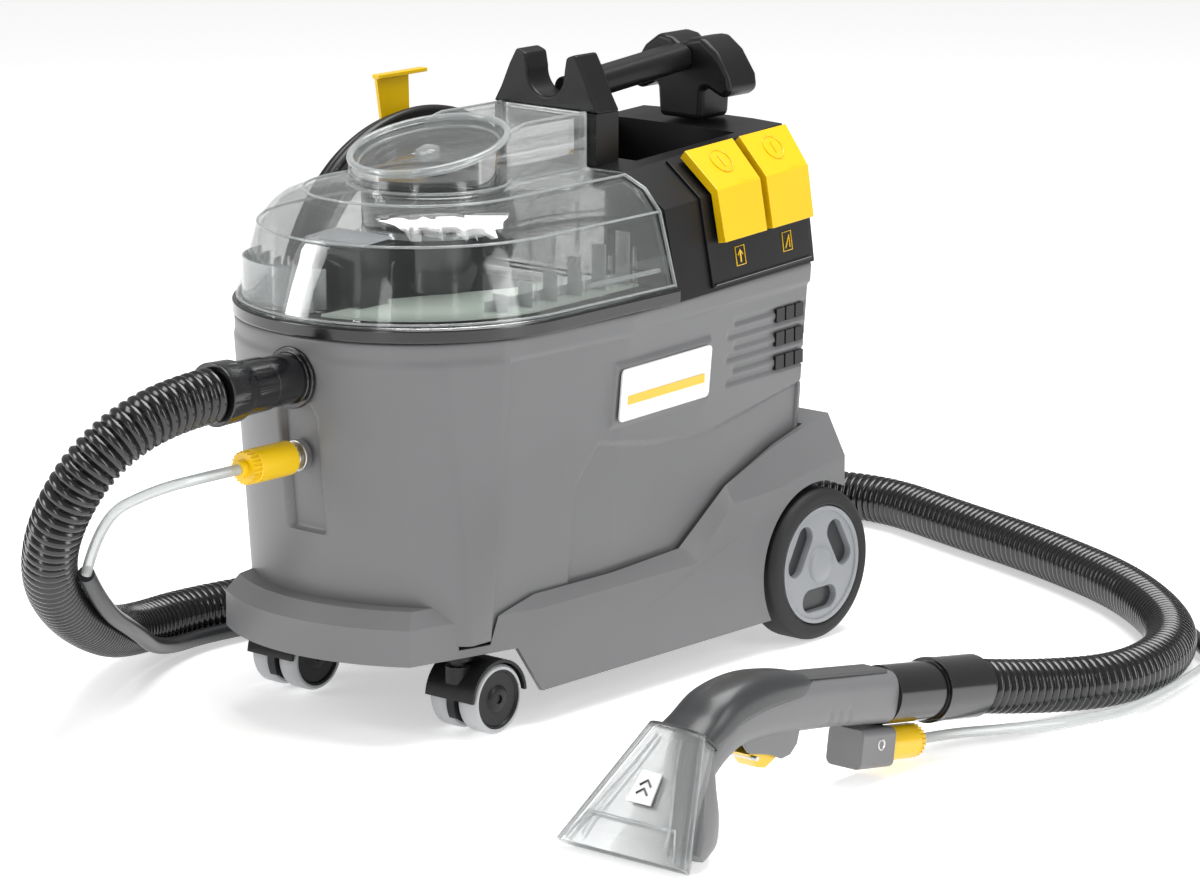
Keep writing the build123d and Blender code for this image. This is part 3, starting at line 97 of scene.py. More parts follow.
class Finish:
    """One material and the nodes that make it."""

    def __init__(self, name):
        self.material = bpy.data.materials.new(name)
        self.material.use_nodes = True
        self.tree = self.material.node_tree
        self.tree.nodes.clear()

    def node(self, kind, settings=None, sockets=None, out=0):
        """Any node: its settings first, then its sockets' values or links."""
        made = self.tree.nodes.new(kind)
        for key, value in (settings or {}).items():
            setattr(made, key, value)
        for key, value in (sockets or {}).items():
            if isinstance(value, Field):
                self.tree.links.new(value.socket, made.inputs[key])
            else:
                made.inputs[key].default_value = value
        return Field(self, made.outputs[out])

    def place(self):
        """The point of the surface in the object's own metres."""
        return self.node("ShaderNodeTexCoord", out=3)

    def noise(self, scale, detail, roughness=0.5):
        """Cloudy noise, scale clouds to the metre."""
        return self.node(
            "ShaderNodeTexNoise",
            {},
            {"Vector": self.place(), "Scale": scale, "Detail": detail, "Roughness": roughness},
        )

    def blend(self, factor, first, second):
        """A colour between two, by a factor."""
        sockets = {0: factor, 6: (*first, 1), 7: (*second, 1)}
        return self.node("ShaderNodeMix", {"data_type": "RGBA"}, sockets, out=2)

    def bump(self, height, strength, distance):
        return self.node(
            "ShaderNodeBump", {}, {"Height": height, "Strength": strength, "Distance": distance}
        )

    def surface(self, sockets):
        """The main shader with some of its sockets set."""
        return self.node("ShaderNodeBsdfPrincipled", {}, sockets)

    def finish(self, shader):
        """Ends the material in a shader."""
        out = self.tree.nodes.new("ShaderNodeOutputMaterial")
        self.tree.links.new(shader.socket, out.inputs["Surface"])
        return self.material


def moulded(name, colour, roughness, grain, depth, coat=0.0, spread=0.08, gloss=0.5):
    """Moulded plastic or rubber: fine grain, faint cloudiness, uneven gloss."""
    made = Finish(name)
    cloud = made.noise(9.0, 4.0, 0.6)
    fine = made.noise(grain, 2.0, 0.6)
    pale = tuple(min(1.0, c * (1 + spread)) for c in colour)
    deep = tuple(c * (1 - spread) for c in colour)
    base = made.blend(cloud, deep, pale)
    rough = cloud * 0.10 + fine * 0.06 + (roughness - 0.08)
    shader = made.surface(
        {
            "Base Color": base,
            "Roughness": rough,
            "Coat Weight": coat,
            "Coat Roughness": 0.08,
            "Specular IOR Level": gloss,
            "Normal": made.bump(fine, 0.35, depth),
        }
    )
    return made.finish(shader)


def brushed_steel(name, colour, roughness):
    """Turned and zinc-plated steel with fine lines."""
    made = Finish(name)
    stretch = made.node(
        "ShaderNodeMapping", {}, {"Vector": made.place(), "Scale": (40, 900, 900)}
    )
    lines = made.node(
        "ShaderNodeTexNoise", {}, {"Vector": stretch, "Scale": 1.0, "Detail": 2.0}
    )
    shader = made.surface(
        {
            "Base Color": made.blend(lines, tuple(c * 0.85 for c in colour), colour),
            "Metallic": 1.0,
            "Roughness": lines * 0.2 + roughness,
            "Normal": made.bump(lines, 0.2, 0.0002),
        }
    )
    return made.finish(shader)


def clear(name, tint, base, body, edge, roughness=0.03, shine=1.2):
    """Clear plastic: see-through, mirror-like by its angle, hazy on its edges."""
    made = Finish(name)
    cloud = made.noise(14.0, 3.0, 0.6)
    ripple = made.noise(22.0, 2.0, 0.5)
    normal = made.bump(ripple, 0.012, 0.002)
    through = made.node("ShaderNodeBsdfTransparent", {}, {"Color": (*tint, 1)})
    mirror = made.surface(
        {
            "Base Color": (1, 1, 1, 1),
            "Metallic": 1.0,
            "Roughness": cloud * 0.03 + roughness,
            "Normal": normal,
        }
    )
    haze = made.surface(
        {"Base Color": made.blend(cloud, tuple(c * 0.9 for c in base), base), "Roughness": 0.2}
    )
    turn = made.node("ShaderNodeFresnel", {}, {"IOR": 1.5})
    glint = made.node("ShaderNodeMath", {"operation": "MINIMUM"}, {0: turn * shine, 1: 0.95})
    facing = made.node("ShaderNodeLayerWeight", {}, {"Blend": 0.4}, out=1)
    share = facing**4.0 * edge + cloud * 0.03 + body
    clean = made.node("ShaderNodeMixShader", {}, {0: glint, 1: through, 2: mirror})
    fog = made.node("ShaderNodeMath", {"operation": "MINIMUM"}, {0: share, 1: 0.95})
    return made.finish(made.node("ShaderNodeMixShader", {}, {0: fog, 1: clean, 2: haze}))


FINISHES = {
    # colour, roughness, grains to the metre, grain depth in metres
    "grey_plastic": moulded("grey_plastic", (0.165, 0.166, 0.170), 0.40, 1400, 0.00012),
    "black_plastic": moulded(
        "black_plastic", (0.008, 0.008, 0.009), 0.36, 1300, 0.00015, gloss=0.34
    ),
    "gloss_black": moulded("gloss_black", (0.006, 0.006, 0.007), 0.17, 700, 0.00004, 0.5),
    "yellow_plastic": moulded(
        "yellow_plastic", (0.84, 0.53, 0.0), 0.30, 1200, 0.00006, 0.3, 0.03
    ),
    "clear_plastic": clear(
        "clear_plastic", (0.972, 0.976, 0.974), (0.62, 0.64, 0.64), 0.0, 0.12, 0.02, 0.42
    ),
    "clear_edge": clear("clear_edge", (0.90, 0.92, 0.92), (0.80, 0.82, 0.82), 0.22, 0.5),
    "clear_head": clear(
        "clear_head", (0.84, 0.85, 0.85), (0.50, 0.51, 0.51), 0.22, 0.5, 0.06, 0.6
    ),
    "pale_deck": moulded("pale_deck", (0.50, 0.57, 0.51), 0.25, 900, 0.00004, 0.4),
    "tank_plastic": clear(
        "tank_plastic", (0.82, 0.88, 0.82), (0.60, 0.70, 0.60), 0.50, 0.3, 0.2, 0.6
    ),
    "tyre_rubber": moulded("tyre_rubber", (0.011, 0.011, 0.011), 0.6, 1500, 0.0002),
    "rim_plastic": moulded("rim_plastic", (0.30, 0.31, 0.325), 0.38, 1400, 0.0001),
    "tread_grey": moulded("tread_grey", (0.45, 0.46, 0.47), 0.55, 1500, 0.0001),
    "steel": brushed_steel("steel", (0.62, 0.62, 0.61), 0.22),
    "dark_grey": moulded("dark_grey", (0.038, 0.039, 0.041), 0.34, 1300, 0.0001, 0.1),
    "hose_black": moulded("hose_black", (0.007, 0.007, 0.008), 0.20, 500, 0.00008, 0.4),
    "tube_clear": clear("tube_clear", (0.86, 0.88, 0.87), (0.80, 0.82, 0.81), 0.40, 0.4, 0.08),
    "sleeve_grey": moulded("sleeve_grey", (0.022, 0.023, 0.025), 0.34, 900, 0.0001, 0.1),
    "cord_rubber": moulded("cord_rubber", (0.008, 0.008, 0.008), 0.34, 900, 0.0001),
    "white_label": moulded("white_label", (0.88, 0.88, 0.87), 0.28, 1500, 0.00003, 0.3, 0.02),
    "grip_rubber": moulded("grip_rubber", (0.075, 0.076, 0.078), 0.55, 620, 0.0012),
}


def wear(piece, slot):
    """Gives a piece the finish of a material slot."""
    piece.data.materials.clear()
    piece.data.materials.append(FINISHES[slot])


NODE_SLOT = {s["node"]: s["material_slot"] for s in frame["record"]["subparts"]}
for node, slot_name in NODE_SLOT.items():
    wear(frame["nodes"][node], slot_name)
BODY_OF = {
    node: body
    for body, nodes in frame["record"]["behaviour"]["bodies"].items()
    for node in nodes
}


# ----------------------------------------------------------- mesh helpers ----
def show(piece, slot, body="machine", stands_for=(), finish=None):
    """Finishes a new piece: its finish, its body and the nodes it stands for."""
    wear(piece, finish or slot)
    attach(piece, body)
    if stands_for:
        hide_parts(*stands_for)
    return piece


def from_faces(name, points, faces, smooth=40):
    """A mesh object from points in metres and faces, smooth below an angle."""
    mesh = bpy.data.meshes.new(name)
    mesh.from_pydata([tuple(p) for p in points], [], faces)
    made = bmesh.new()
    made.from_mesh(mesh)
    bmesh.ops.recalc_face_normals(made, faces=made.faces)
    for face in made.faces:
        face.smooth = True
    limit = math.radians(smooth)
    for edge in made.edges:
        if len(edge.link_faces) == 2 and edge.calc_face_angle(0) > limit:
            edge.smooth = False
    made.to_mesh(mesh)
    made.free()
    piece = bpy.data.objects.new(name, mesh)
    bpy.context.scene.collection.objects.link(piece)
    return piece


def bake_modifiers(piece):
    """Applies a piece's modifiers to its mesh."""
    bpy.context.view_layer.update()
    graph = bpy.context.evaluated_depsgraph_get()
    mesh = bpy.data.meshes.new_from_object(piece.evaluated_get(graph))
    piece.modifiers.clear()
    piece.data = mesh
    return piece


MERGE = 2e-6  # metres between points that are one
FLAT = math.radians(0.8)  # turn below which faces are one flat
SHARP = math.radians(28)  # turn above which an edge is rounded


def rounded(node, width):
    """A copy of a CAD node with its edges rounded, standing for the node."""
    mesh = frame["nodes"][node].data.copy()
    made = bmesh.new()
    made.from_mesh(mesh)
    bmesh.ops.remove_doubles(made, verts=made.verts, dist=MERGE)
    bmesh.ops.dissolve_limit(made, angle_limit=FLAT, verts=made.verts, edges=made.edges)
    for face in made.faces:
        face.smooth = True
    for edge in made.edges:
        edge.smooth = True
    made.to_mesh(mesh)
    made.free()
    if mesh.has_custom_normals:
        mesh.attributes.remove(mesh.attributes["custom_normal"])
    piece = bpy.data.objects.new(node + "_shape", mesh)
    bpy.context.scene.collection.objects.link(piece)
    bevel = piece.modifiers.new("round", "BEVEL")
    bevel.width = width * MM
    bevel.segments = 3
    bevel.limit_method = "ANGLE"
    bevel.angle_limit = SHARP
    bevel.harden_normals = True
    bevel.miter_outer = "MITER_ARC"
    bake_modifiers(piece)
    return show(piece, NODE_SLOT[node], BODY_OF[node], [node])


def mix(a, b, t):
    """A value between a and b."""
    return a + (b - a) * t


def mm(points):
    """Points in mm as vectors in metres."""
    return [Vector(p) * MM for p in points]


BOX_FACES = [(0, 1, 2, 3), (4, 5, 6, 7), (0, 1, 5, 4), (1, 2, 6, 5), (2, 3, 7, 6), (3, 0, 4, 7)]


def plate(name, lower, upper):
    """A six-faced plate between two rings of four points in mm."""
    return from_faces(name, mm([*lower, *upper]), BOX_FACES)


def lathe(name, profile, centre, axis, steps):
    """Turns a closed profile of (along, radius) about an axis through centre, in mm."""
    axis = Vector(axis).normalized()
    side = axis.orthogonal().normalized()
    other = axis.cross(side)
    centre = Vector(centre) * MM
    points, faces = [], []
    count = len(profile)
    for i in range(steps):
        a = 2 * math.pi * i / steps
        out = side * math.cos(a) + other * math.sin(a)
        points += [centre + (axis * s + out * r) * MM for s, r in profile]
    for i in range(steps):
        for j in range(count):
            a, b = i * count, (i + 1) % steps * count
            k = (j + 1) % count
            faces.append((a + j, a + k, b + k, b + j))
    return from_faces(name, points, faces)


def frames_along(points, closed=False):
    """Side and up directions carried along a line without twist."""
    count = len(points)
    runs = []
    for i in range(count):
        a = points[i - 1] if i or closed else points[0]
        b = points[(i + 1) % count] if i < count - 1 or closed else points[-1]
        runs.append((b - a).normalized())
    side = runs[0].orthogonal().normalized()
    made = []
    for run in runs:
        side = (side - run * side.dot(run)).normalized()
        made.append((side, run.cross(side)))
    return made


def pipe(name, points, radii, around=24, closed=False, smooth=40):
    """A round tube in metres along points, with a radius at each."""
    rings = frames_along(points, closed)
    mesh_points, faces = [], []
    for p, r, (side, up) in zip(points, radii, rings):
        for k in range(around):
            a = 2 * math.pi * k / around
            mesh_points.append(p + (side * math.cos(a) + up * math.sin(a)) * r)
    count = len(points)
    for i in range(count if closed else count - 1):
        for k in range(around):
            a, b = i * around, (i + 1) % count * around
            n = (k + 1) % around
            faces.append((a + k, a + n, b + n, b + k))
    if not closed:
        faces.append(tuple(range(around)))
        faces.append(tuple(range((count - 1) * around, count * around)))
    return from_faces(name, mesh_points, faces, smooth)


def nurbs(name, route, diameter):
    """A cord: one smooth curve with the route in mm as its control points."""
    curve = bpy.data.curves.new(name, "CURVE")
    curve.dimensions = "3D"
    spline = curve.splines.new("NURBS")
    spline.points.add(len(route) - 1)
    for point, place in zip(spline.points, route):
        point.co = (*[v * MM for v in place], 1)
    spline.order_u = 3
    spline.use_endpoint_u = True
    curve.resolution_u = 16
    curve.bevel_depth = diameter * MM / 2
    curve.bevel_resolution = 6
    curve.use_fill_caps = True
    piece = bpy.data.objects.new(name, curve)
    bpy.context.scene.collection.objects.link(piece)
    return piece


def line_of(route):
    """The points in metres of the smooth curve through a route's corners."""
    piece = nurbs("line", route, 0)
    bpy.context.view_layer.update()
    mesh = bpy.data.meshes.new_from_object(piece)
    points = [v.co.copy() for v in mesh.vertices]
    bpy.data.meshes.remove(mesh)
    bpy.data.objects.remove(piece)
    return points


def spaced(points, step):
    """A line's points again, evenly about a step apart, and its length."""
    at = [0.0]
    for a, b in zip(points, points[1:]):
        at.append(at[-1] + (b - a).length)
    count = max(2, round(at[-1] / step))
    made, j = [], 0
    for i in range(count + 1):
        s = at[-1] * i / count
        while j < len(at) - 2 and at[j + 1] < s:
            j += 1
        t = (s - at[j]) / max(at[j + 1] - at[j], 1e-9)
        made.append(points[j].lerp(points[j + 1], t))
    return made, at[-1]


# ------------------------------------------------------- hoses and cord ----
# routes in mm; the hose runs from the port's cuff round behind to the tool
HOSE_ROUTE = [
    (0, -395, 250),
    (-4, -437, 248),
    (-20, -482, 222),
    (-45, -497, 176),
    (-76, -478, 130),
    (-112, -428, 90),
    (-160, -352, 52),
    (-212, -276, 26),
    (-236, -188, 20),
    (-206, -64, 20),
    (-208, 80, 20),
    (-228, 216, 20),
    (-196, 362, 20),
    (-92, 438, 20),
    (34, 398, 20),
    (146, 364, 20),
    (262, 312, 20),
    (366, 218, 20),
    (396, 112, 20),
    (372, 22, 28),
    (362, -32, 39),
]
HOSE_D = 38.0
STRIP_D = 12.0
SPRAY_D = 7.5
CORD_D = 8.0


FLOOR_LAID_Z = 30  # below this the hose lies on the floor
LAID_DROP = 0.45  # share of the reach by which the sleeve lies lower than the hose


def beside_hose(first, last, over, reach):
    """Points beside the hose: on its right until the point over, then left."""
    made = []
    for i in range(first, last + 1):
        a, b, c = (Vector(HOSE_ROUTE[j]) for j in (i - 1, i, i + 1))
        run = ((b - a).normalized() + (c - b).normalized()).normalized()
        flat = run.cross(Vector((0, 0, 1))).normalized()
        if i < over:
            drop = LAID_DROP if b.z < FLOOR_LAID_Z else 0.0
            way = flat * math.sqrt(1 - drop * drop) - Vector((0, 0, drop))
        elif i == over:
            way = Vector((0, 0, 1))
        else:
            way = flat * -math.sqrt(1 - LAID_DROP * LAID_DROP) - Vector((0, 0, LAID_DROP))
        made.append(tuple(b + way * reach))
    return made


STRIP_GAP = 1.5
STRIP_ROUTE = beside_hose(4, 17, 12, (HOSE_D + STRIP_D) / 2 + STRIP_GAP)
COUPLING_TAIL = (0, -372, 195)
FRONT_SPRAY_ROUTE = [
    COUPLING_TAIL,
    (-1, -404, 195),
    (-14, -438, 190),
    (-40, -462, 172),
    STRIP_ROUTE[0],
]
TOOL_TAIL = (362, -87.9, 13.5)
TOOL_SPRAY_ROUTE = [
    TOOL_TAIL,
    (365, -57.9, 11.5),
    (380, -21.9, 9),
    (402, 24.1, 8),
    (422, 102.1, 8),
    STRIP_ROUTE[-1],
]

RIB_PITCH = 6.6
RIB_SHAPE = (0.0, 0.55, 0.95, 1.0, 0.95, 0.55)
RIB_HEIGHT = 2.6


def make_suction_hose():
    """The ribbed hose: rounded rings along the whole length."""
    points, length = spaced(line_of(HOSE_ROUTE), RIB_PITCH * MM / len(RIB_SHAPE))
    top = HOSE_D / 2
    radii = [
        (top - RIB_HEIGHT * (1 - RIB_SHAPE[i % len(RIB_SHAPE)])) * MM
        for i in range(len(points))
    ]
    hose = pipe("ribbed_hose", points, radii, 30, smooth=85)
    show(hose, "hose_black", stands_for=["suction_hose"])
    points[::6] + [points[-1]]


LENGTH_STEP = 0.005  # metres


def make_line(name, route, diameter, slot, node):
    """A smooth sleeve or tube laid along a route."""
    piece = nurbs(name, route, diameter)
    show(piece, slot, stands_for=[node])
    length = spaced(line_of(route), LENGTH_STEP)[1]
    [v * MM for v in route[0]]


COIL = (-140.0, -45.0, 245.0)
COIL_TURNS = 10
COIL_OUT, COIL_IN = 144.5, 113.5
COIL_HALF_WIDE = 3.9
LOOSE_OUT, LOOSE_ACROSS = 0.9, 0.4  # how unevenly the turns lie
TURN_POINTS = 16


def cord_route():
    """The mains cord: gland, loop to the hooks, wound turns, tail and plug."""
    random.seed(7)
    route = [
        (-70, 132, 200),
        (-72, 148, 200),
        (-92, 164, 200),
        (-122, 156, 202),
        (-138, 128, 212),
    ]
    count = COIL_TURNS * TURN_POINTS
    for i in range(1, count + 2):
        turn = i / TURN_POINTS
        angle = 2 * math.pi * turn - 0.12
        layer = turn / 2 % 1.0
        depth = COIL_OUT + (COIL_IN - COIL_OUT) * turn / COIL_TURNS
        radius = depth + random.uniform(-LOOSE_OUT, LOOSE_OUT)
        across = COIL_HALF_WIDE * math.sin(2 * math.pi * layer)
        across += random.uniform(-LOOSE_ACROSS, LOOSE_ACROSS)
        route.append(
            (
                COIL[0] + across,
                COIL[1] + radius * math.cos(angle),
                COIL[2] + radius * math.sin(angle),
            )
        )
    route += [
        (-140, 40, 316),
        (-140, 10, 334),
        (-140, -14, 322),
        (-140, -34, 298),
        (-140, -39, 261),
    ]
    return route


def make_cord():
    """The mains cord, wound round the two hooks and running to its plug."""
    route = cord_route()
    cord = nurbs("mains_cord", route, CORD_D)
    show(cord, "cord_rubber", stands_for=["cord_lead", "cord_coil", "cord_tail"])
    length = spaced(line_of(route), LENGTH_STEP)[1]
    [v * MM for v in route[0]]


make_suction_hose()
make_line("spray_sleeve", STRIP_ROUTE, STRIP_D, "sleeve_grey", "spray_strip")
make_line("spray_line_front", FRONT_SPRAY_ROUTE, SPRAY_D, "tube_clear", "spray_tube_front")
make_line("spray_line_tool", TOOL_SPRAY_ROUTE, SPRAY_D, "tube_clear", "spray_tube_tool")
make_cord()

# ---------------------------------------------------------- lower housing ----
HOUSING_LOW, HOUSING_TOP = 66.3, 279.0
PLAN_LOW = 92.0  # level of the lower of the two plans that shape the housing
SIDE_BEND_Y = -110.0


def rise(z):
    """How far z is from the lower plan, 0, to the housing's top, 1."""
    return (z - PLAN_LOW) / (HOUSING_TOP - PLAN_LOW)


def corner_y(z):
    """Where the front's corner strip ends at z."""
    return mix(-236.0, -233.0, rise(z))


def rear_y(z):
    """The housing's rear face at z."""
    return mix(106.0, 125.0, rise(z))


def housing_side(y, z):
    """How far out the housing's plain side stands at y, behind its bend, and z."""
    along = max(0, (y - SIDE_BEND_Y) / (rear_y(HOUSING_TOP) - SIDE_BEND_Y))
    return mix(mix(106.0, 126.0, rise(z)), mix(98.0, 97.5, rise(z)), along)


def housing_plan(z):
    """The housing's right half in plan at z, front to rear."""
    t = rise(z)
    r, cy = mix(141.6, 128.7, t), mix(-158.4, -191.7, t)
    corner = math.radians(mix(46.5, 50.0, t))
    steps = 60
    made = [
        Vector((r * math.sin(corner * k / steps), cy - r * math.cos(corner * k / steps)))
        for k in range(steps + 1)
    ]
    stops = [
        # corner of the plan, steps up to it
        (Vector((mix(105.5, 121.0, t), corner_y(z))), 24),
        (Vector((mix(106.0, 126.0, t), SIDE_BEND_Y)), 80),
        (Vector((mix(98.0, 97.5, t), rear_y(z))), 150),
        (Vector((0.0, rear_y(z))), 50),
    ]
    for stop, count in stops:
        start = made[-1]
        made += [start.lerp(stop, k / count) for k in range(1, count + 1)]
    return made


def soft_step(x, width):
    """0 below 0, 1 above width, smooth between."""
    t = min(1.0, max(0.0, x / width))
    return t * t * (3 - 2 * t)


def groove(distance, half, edge=1.2):
    """1 within half of a line, fading over an edge."""
    return 1 - soft_step(distance - half, edge)


# the side panel's upper edge, as y and z, from its front corner to the rear
PANEL_EDGE = [
    (-156, 60), (-154, 161), (-133, 190), (-70, 179), (0, 175), (101, 190), (130, 196),
]
PANEL_DEPTH = 2.2
PANEL_FRONT_TOP_Z = 186.0
SLOT_LEVELS = (206.0, 223.5, 241.0)
SLOT_PAIR = 8.6  # between the two grooves of a slot
RECESS_HALF, RECESS_LOW_Z, RECESS_TAPER_Z, RECESS_TOP_Z = 18.5, 140.0, 224.0, 232.0
FIELD_DEPTH, FIELD_TOP_Z = 2.0, 262.0
FRONT_PROUD = 1.2
LABEL_Y, LABEL_Z = -65.5, 221.5
LABEL_FRAME = (57.0, 21.0)  # half length and height
TOP_EDGE = 2.5
SIDE_X = 80.0  # only the side faces are further out than this


def panel_depth(y, z):
    """How far the side panel below its sweeping edge is sunk, from 0 to 1."""
    if y < PANEL_EDGE[2][0]:
        low, high = PANEL_EDGE[1], PANEL_EDGE[2]
        edge_y = low[0]
        if z >= low[1]:
            edge_y = mix(low[0], high[0], (z - low[1]) / (high[1] - low[1]))
        return soft_step(y - edge_y, 2.0) * (1 - soft_step(z - PANEL_FRONT_TOP_Z, 3.0))
    for (y0, z0), (y1, z1) in zip(PANEL_EDGE[2:], PANEL_EDGE[3:]):
        if y <= y1:
            edge_z = mix(z0, z1, (y - y0) / (y1 - y0))
            return 1 - soft_step(z - edge_z + 2, 2.0)
    return 1.0


def front_recess(x, z):
    """The sunk channel below the hose port, from 0 to 1."""
    half = RECESS_HALF - max(0.0, z - RECESS_TAPER_Z) * 0.6
    inside = groove(abs(x), half - 3, 2.2)
    return inside * soft_step(z - RECESS_LOW_Z, 2.5) * (1 - soft_step(z - RECESS_TOP_Z, 4.0))


def louvres(y, z):
    """The paired grooves beside the vent slots, from 0 to 1."""
    made = 0.0
    for level in SLOT_LEVELS:
        for off in (0.0, SLOT_PAIR):
            ends = soft_step(y - 14 - off, 5) * (1 - soft_step(y - 116, 4))
            made += groove(abs(z - level - off), 1.3) * ends
    return made


def housing_relief(x, y, z):
    """How far the skin stands off the plain housing at a point."""
    lift = 0.0
    if abs(x) < 26 and y < -250:
        lift -= 5.0 * front_recess(x, z)
    if y < -200:
        # the front stands a little proud of the strips beside it
        front = 1 - soft_step(y - corner_y(z) - 2, 1.6)
        lift += FRONT_PROUD * front * (1 - soft_step(z - FIELD_TOP_Z, 6.0))
    if y > -258:
        # sunk field behind the front corner strip
        field = soft_step(y - corner_y(z) - 2, 1.6)
        lift -= FIELD_DEPTH * field * (1 - soft_step(z - FIELD_TOP_Z, 3.0))
    if abs(x) > SIDE_X and -170 < y < 120:
        lift -= PANEL_DEPTH * panel_depth(y, z)
    if x > SIDE_X and 6 < y < 124:
        lift -= 1.6 * louvres(y, z)
    if x > SIDE_X and -130 < y < 0:
        # raised frame round the label
        past = max(abs(y - LABEL_Y) - LABEL_FRAME[0], abs(z - LABEL_Z) - LABEL_FRAME[1])
        lift += 2.6 * (1 - soft_step(past, 3.0))
    return lift


def make_housing():
    """The lower housing's skin: front recess, corner strips, panels, grooves."""
    rows = 118
    levels = [HOUSING_LOW + (HOUSING_TOP - HOUSING_LOW) * k / rows for k in range(rows + 1)]
    points, faces = [], []
    for z in levels:
        half = housing_plan(z)
        ring = half + [Vector((-p.x, p.y)) for p in reversed(half[1:-1])]
        count = len(ring)
        soft = []
        for i in range(count):
            near = [ring[(i + k) % count] for k in range(-2, 3)]
            soft.append(sum(near, Vector((0, 0))) / len(near))
        top = soft_step(z - HOUSING_TOP + TOP_EDGE, TOP_EDGE)
        for i, p in enumerate(soft):
            run = (soft[(i + 1) % count] - soft[i - 1]).normalized()
            out = Vector((run.y, -run.x))
            q = p + out * (housing_relief(p.x, p.y, z) - 1.2 * top)
            points.append(Vector((q.x, q.y, z)) * MM)
    for row in range(rows):
        for i in range(count):
            n = (i + 1) % count
            a, b = row * count, (row + 1) * count
            faces.append((a + i, a + n, b + n, b + i))
    skin = from_faces("housing_skin", points, faces, 60)
    thick = skin.modifiers.new("wall", "SOLIDIFY")
    thick.thickness = 2.4 * MM
    thick.offset = -1
    bake_modifiers(skin)
    show(skin, "grey_plastic", stands_for=["lower_housing"])


make_housing()


# --------------------------------------------- rounded copies of the parts ----
# radius of the rounded edges
ROUNDING = {
    "chassis": 3.0, "base_plate": 0.8, "tyre_right": 2.5, "tyre_left": 2.5,
    "rim_right": 1.4, "rim_left": 1.4, "caster_fork_right": 1.2, "caster_fork_left": 1.2,
    "label_plate": 0.5, "tank_rim": 1.6, "tank_lid": 1.2, "standpipe": 1.0,
    "inlet_block": 0.8, "top_housing": 2.2, "front_saddle": 2.2, "handle_bar": 1.5,
    "rear_saddle": 4.5, "switch_panel": 0.6, "vacuum_pad": 3.3, "spray_pad": 3.3,
    "suction_port": 1.0, "hose_cuff": 1.0, "machine_coupling": 1.2, "tool_coupling": 1.0,
    "cord_hook": 1.0, "lower_hook": 1.2, "tool_cuff": 1.0, "grip_pad": 0.8,
    "head_window": 0.6, "tool_trigger": 1.2, "valve_block": 3.0, "tank_deck": 0.4,
    "spray_nipple": 0.8, "waste_tank": 0.6, "spray_pump": 1.0, "turbine_housing": 1.0,
    "fresh_tank": 0.6,
}
for node, width in ROUNDING.items():
    shape = rounded(node, width)
    if node == "head_window":
        wear(shape, "clear_head")

# ------------------------------------------------------------- lid details ----
LID_CY = -191.7
LID_BACK_Y = -62
DRUM_CY = -181.0
DRUM_R = 56.0
DRUM_FRONT_Z, DRUM_RISE = 379.5, 25.5
HUMP_HALF, HUMP_TOP_Z = 39.6, 404.6
DECK_Z = 291
SIDES = ((1, "right"), (-1, "left"))


def drum_top(y):
    """Height of the drum's sloping top at y."""
    return DRUM_FRONT_Z + (y - (DRUM_CY - DRUM_R)) * DRUM_RISE / (2 * DRUM_R)


def bead(name, points, radius, slot, body, finish=None, closed=False, around=12):
    """A thin round bead along points."""
    line = mm(points)
    piece = pipe(name, line, [radius * MM] * len(line), around, closed)
    return show(piece, slot, body, finish=finish)


def clear_bead(name, points, radius, body="lid", closed=False):
    """A bead of the clear plastic, hazier than its walls."""
    return bead(name, points, radius, "clear_plastic", body, "clear_edge", closed)


def fin(name, line, low, high, thick):
    """An upright thin wall of the tank's deck along a level line."""
    count = len(line)
    points, faces = [], []
    for i in range(count):
        a, b = Vector(line[max(i - 1, 0)][:2]), Vector(line[min(i + 1, count - 1)][:2])
        run = (b - a).normalized()
        out = Vector((run.y, -run.x)) * thick / 2
        p = Vector(line[i][:2])
        for q, z in ((p + out, low), (p + out, high), (p - out, high), (p - out, low)):
            points.append(Vector((q.x, q.y, z)) * MM)
    for i in range(count - 1):
        for k in range(4):
            n = (k + 1) % 4
            faces.append((4 * i + k, 4 * i + n, 4 * i + 4 + n, 4 * i + 4 + k))
    faces.append((0, 1, 2, 3))
    faces.append(tuple(4 * (count - 1) + k for k in range(4)))
    made = from_faces(name, points, faces)
    return show(made, "clear_plastic", "tank", finish="clear_edge")


def arc(cx, cy, z, r, start, stop, count):
    """Points on a level arc, degrees from the front, growing towards +X."""
    made = []
    for i in range(count + 1):
        a = math.radians(mix(start, stop, i / count))
        made.append((cx + r * math.sin(a), cy - r * math.cos(a), z))
    return made


def drum_ring(r, lift):
    """A ring that follows the drum's sloping top."""
    ring = arc(0, DRUM_CY, 0, r, -180, 180, 72)[:-1]
    return [(x, y, drum_top(y) + lift) for x, y, _ in ring]


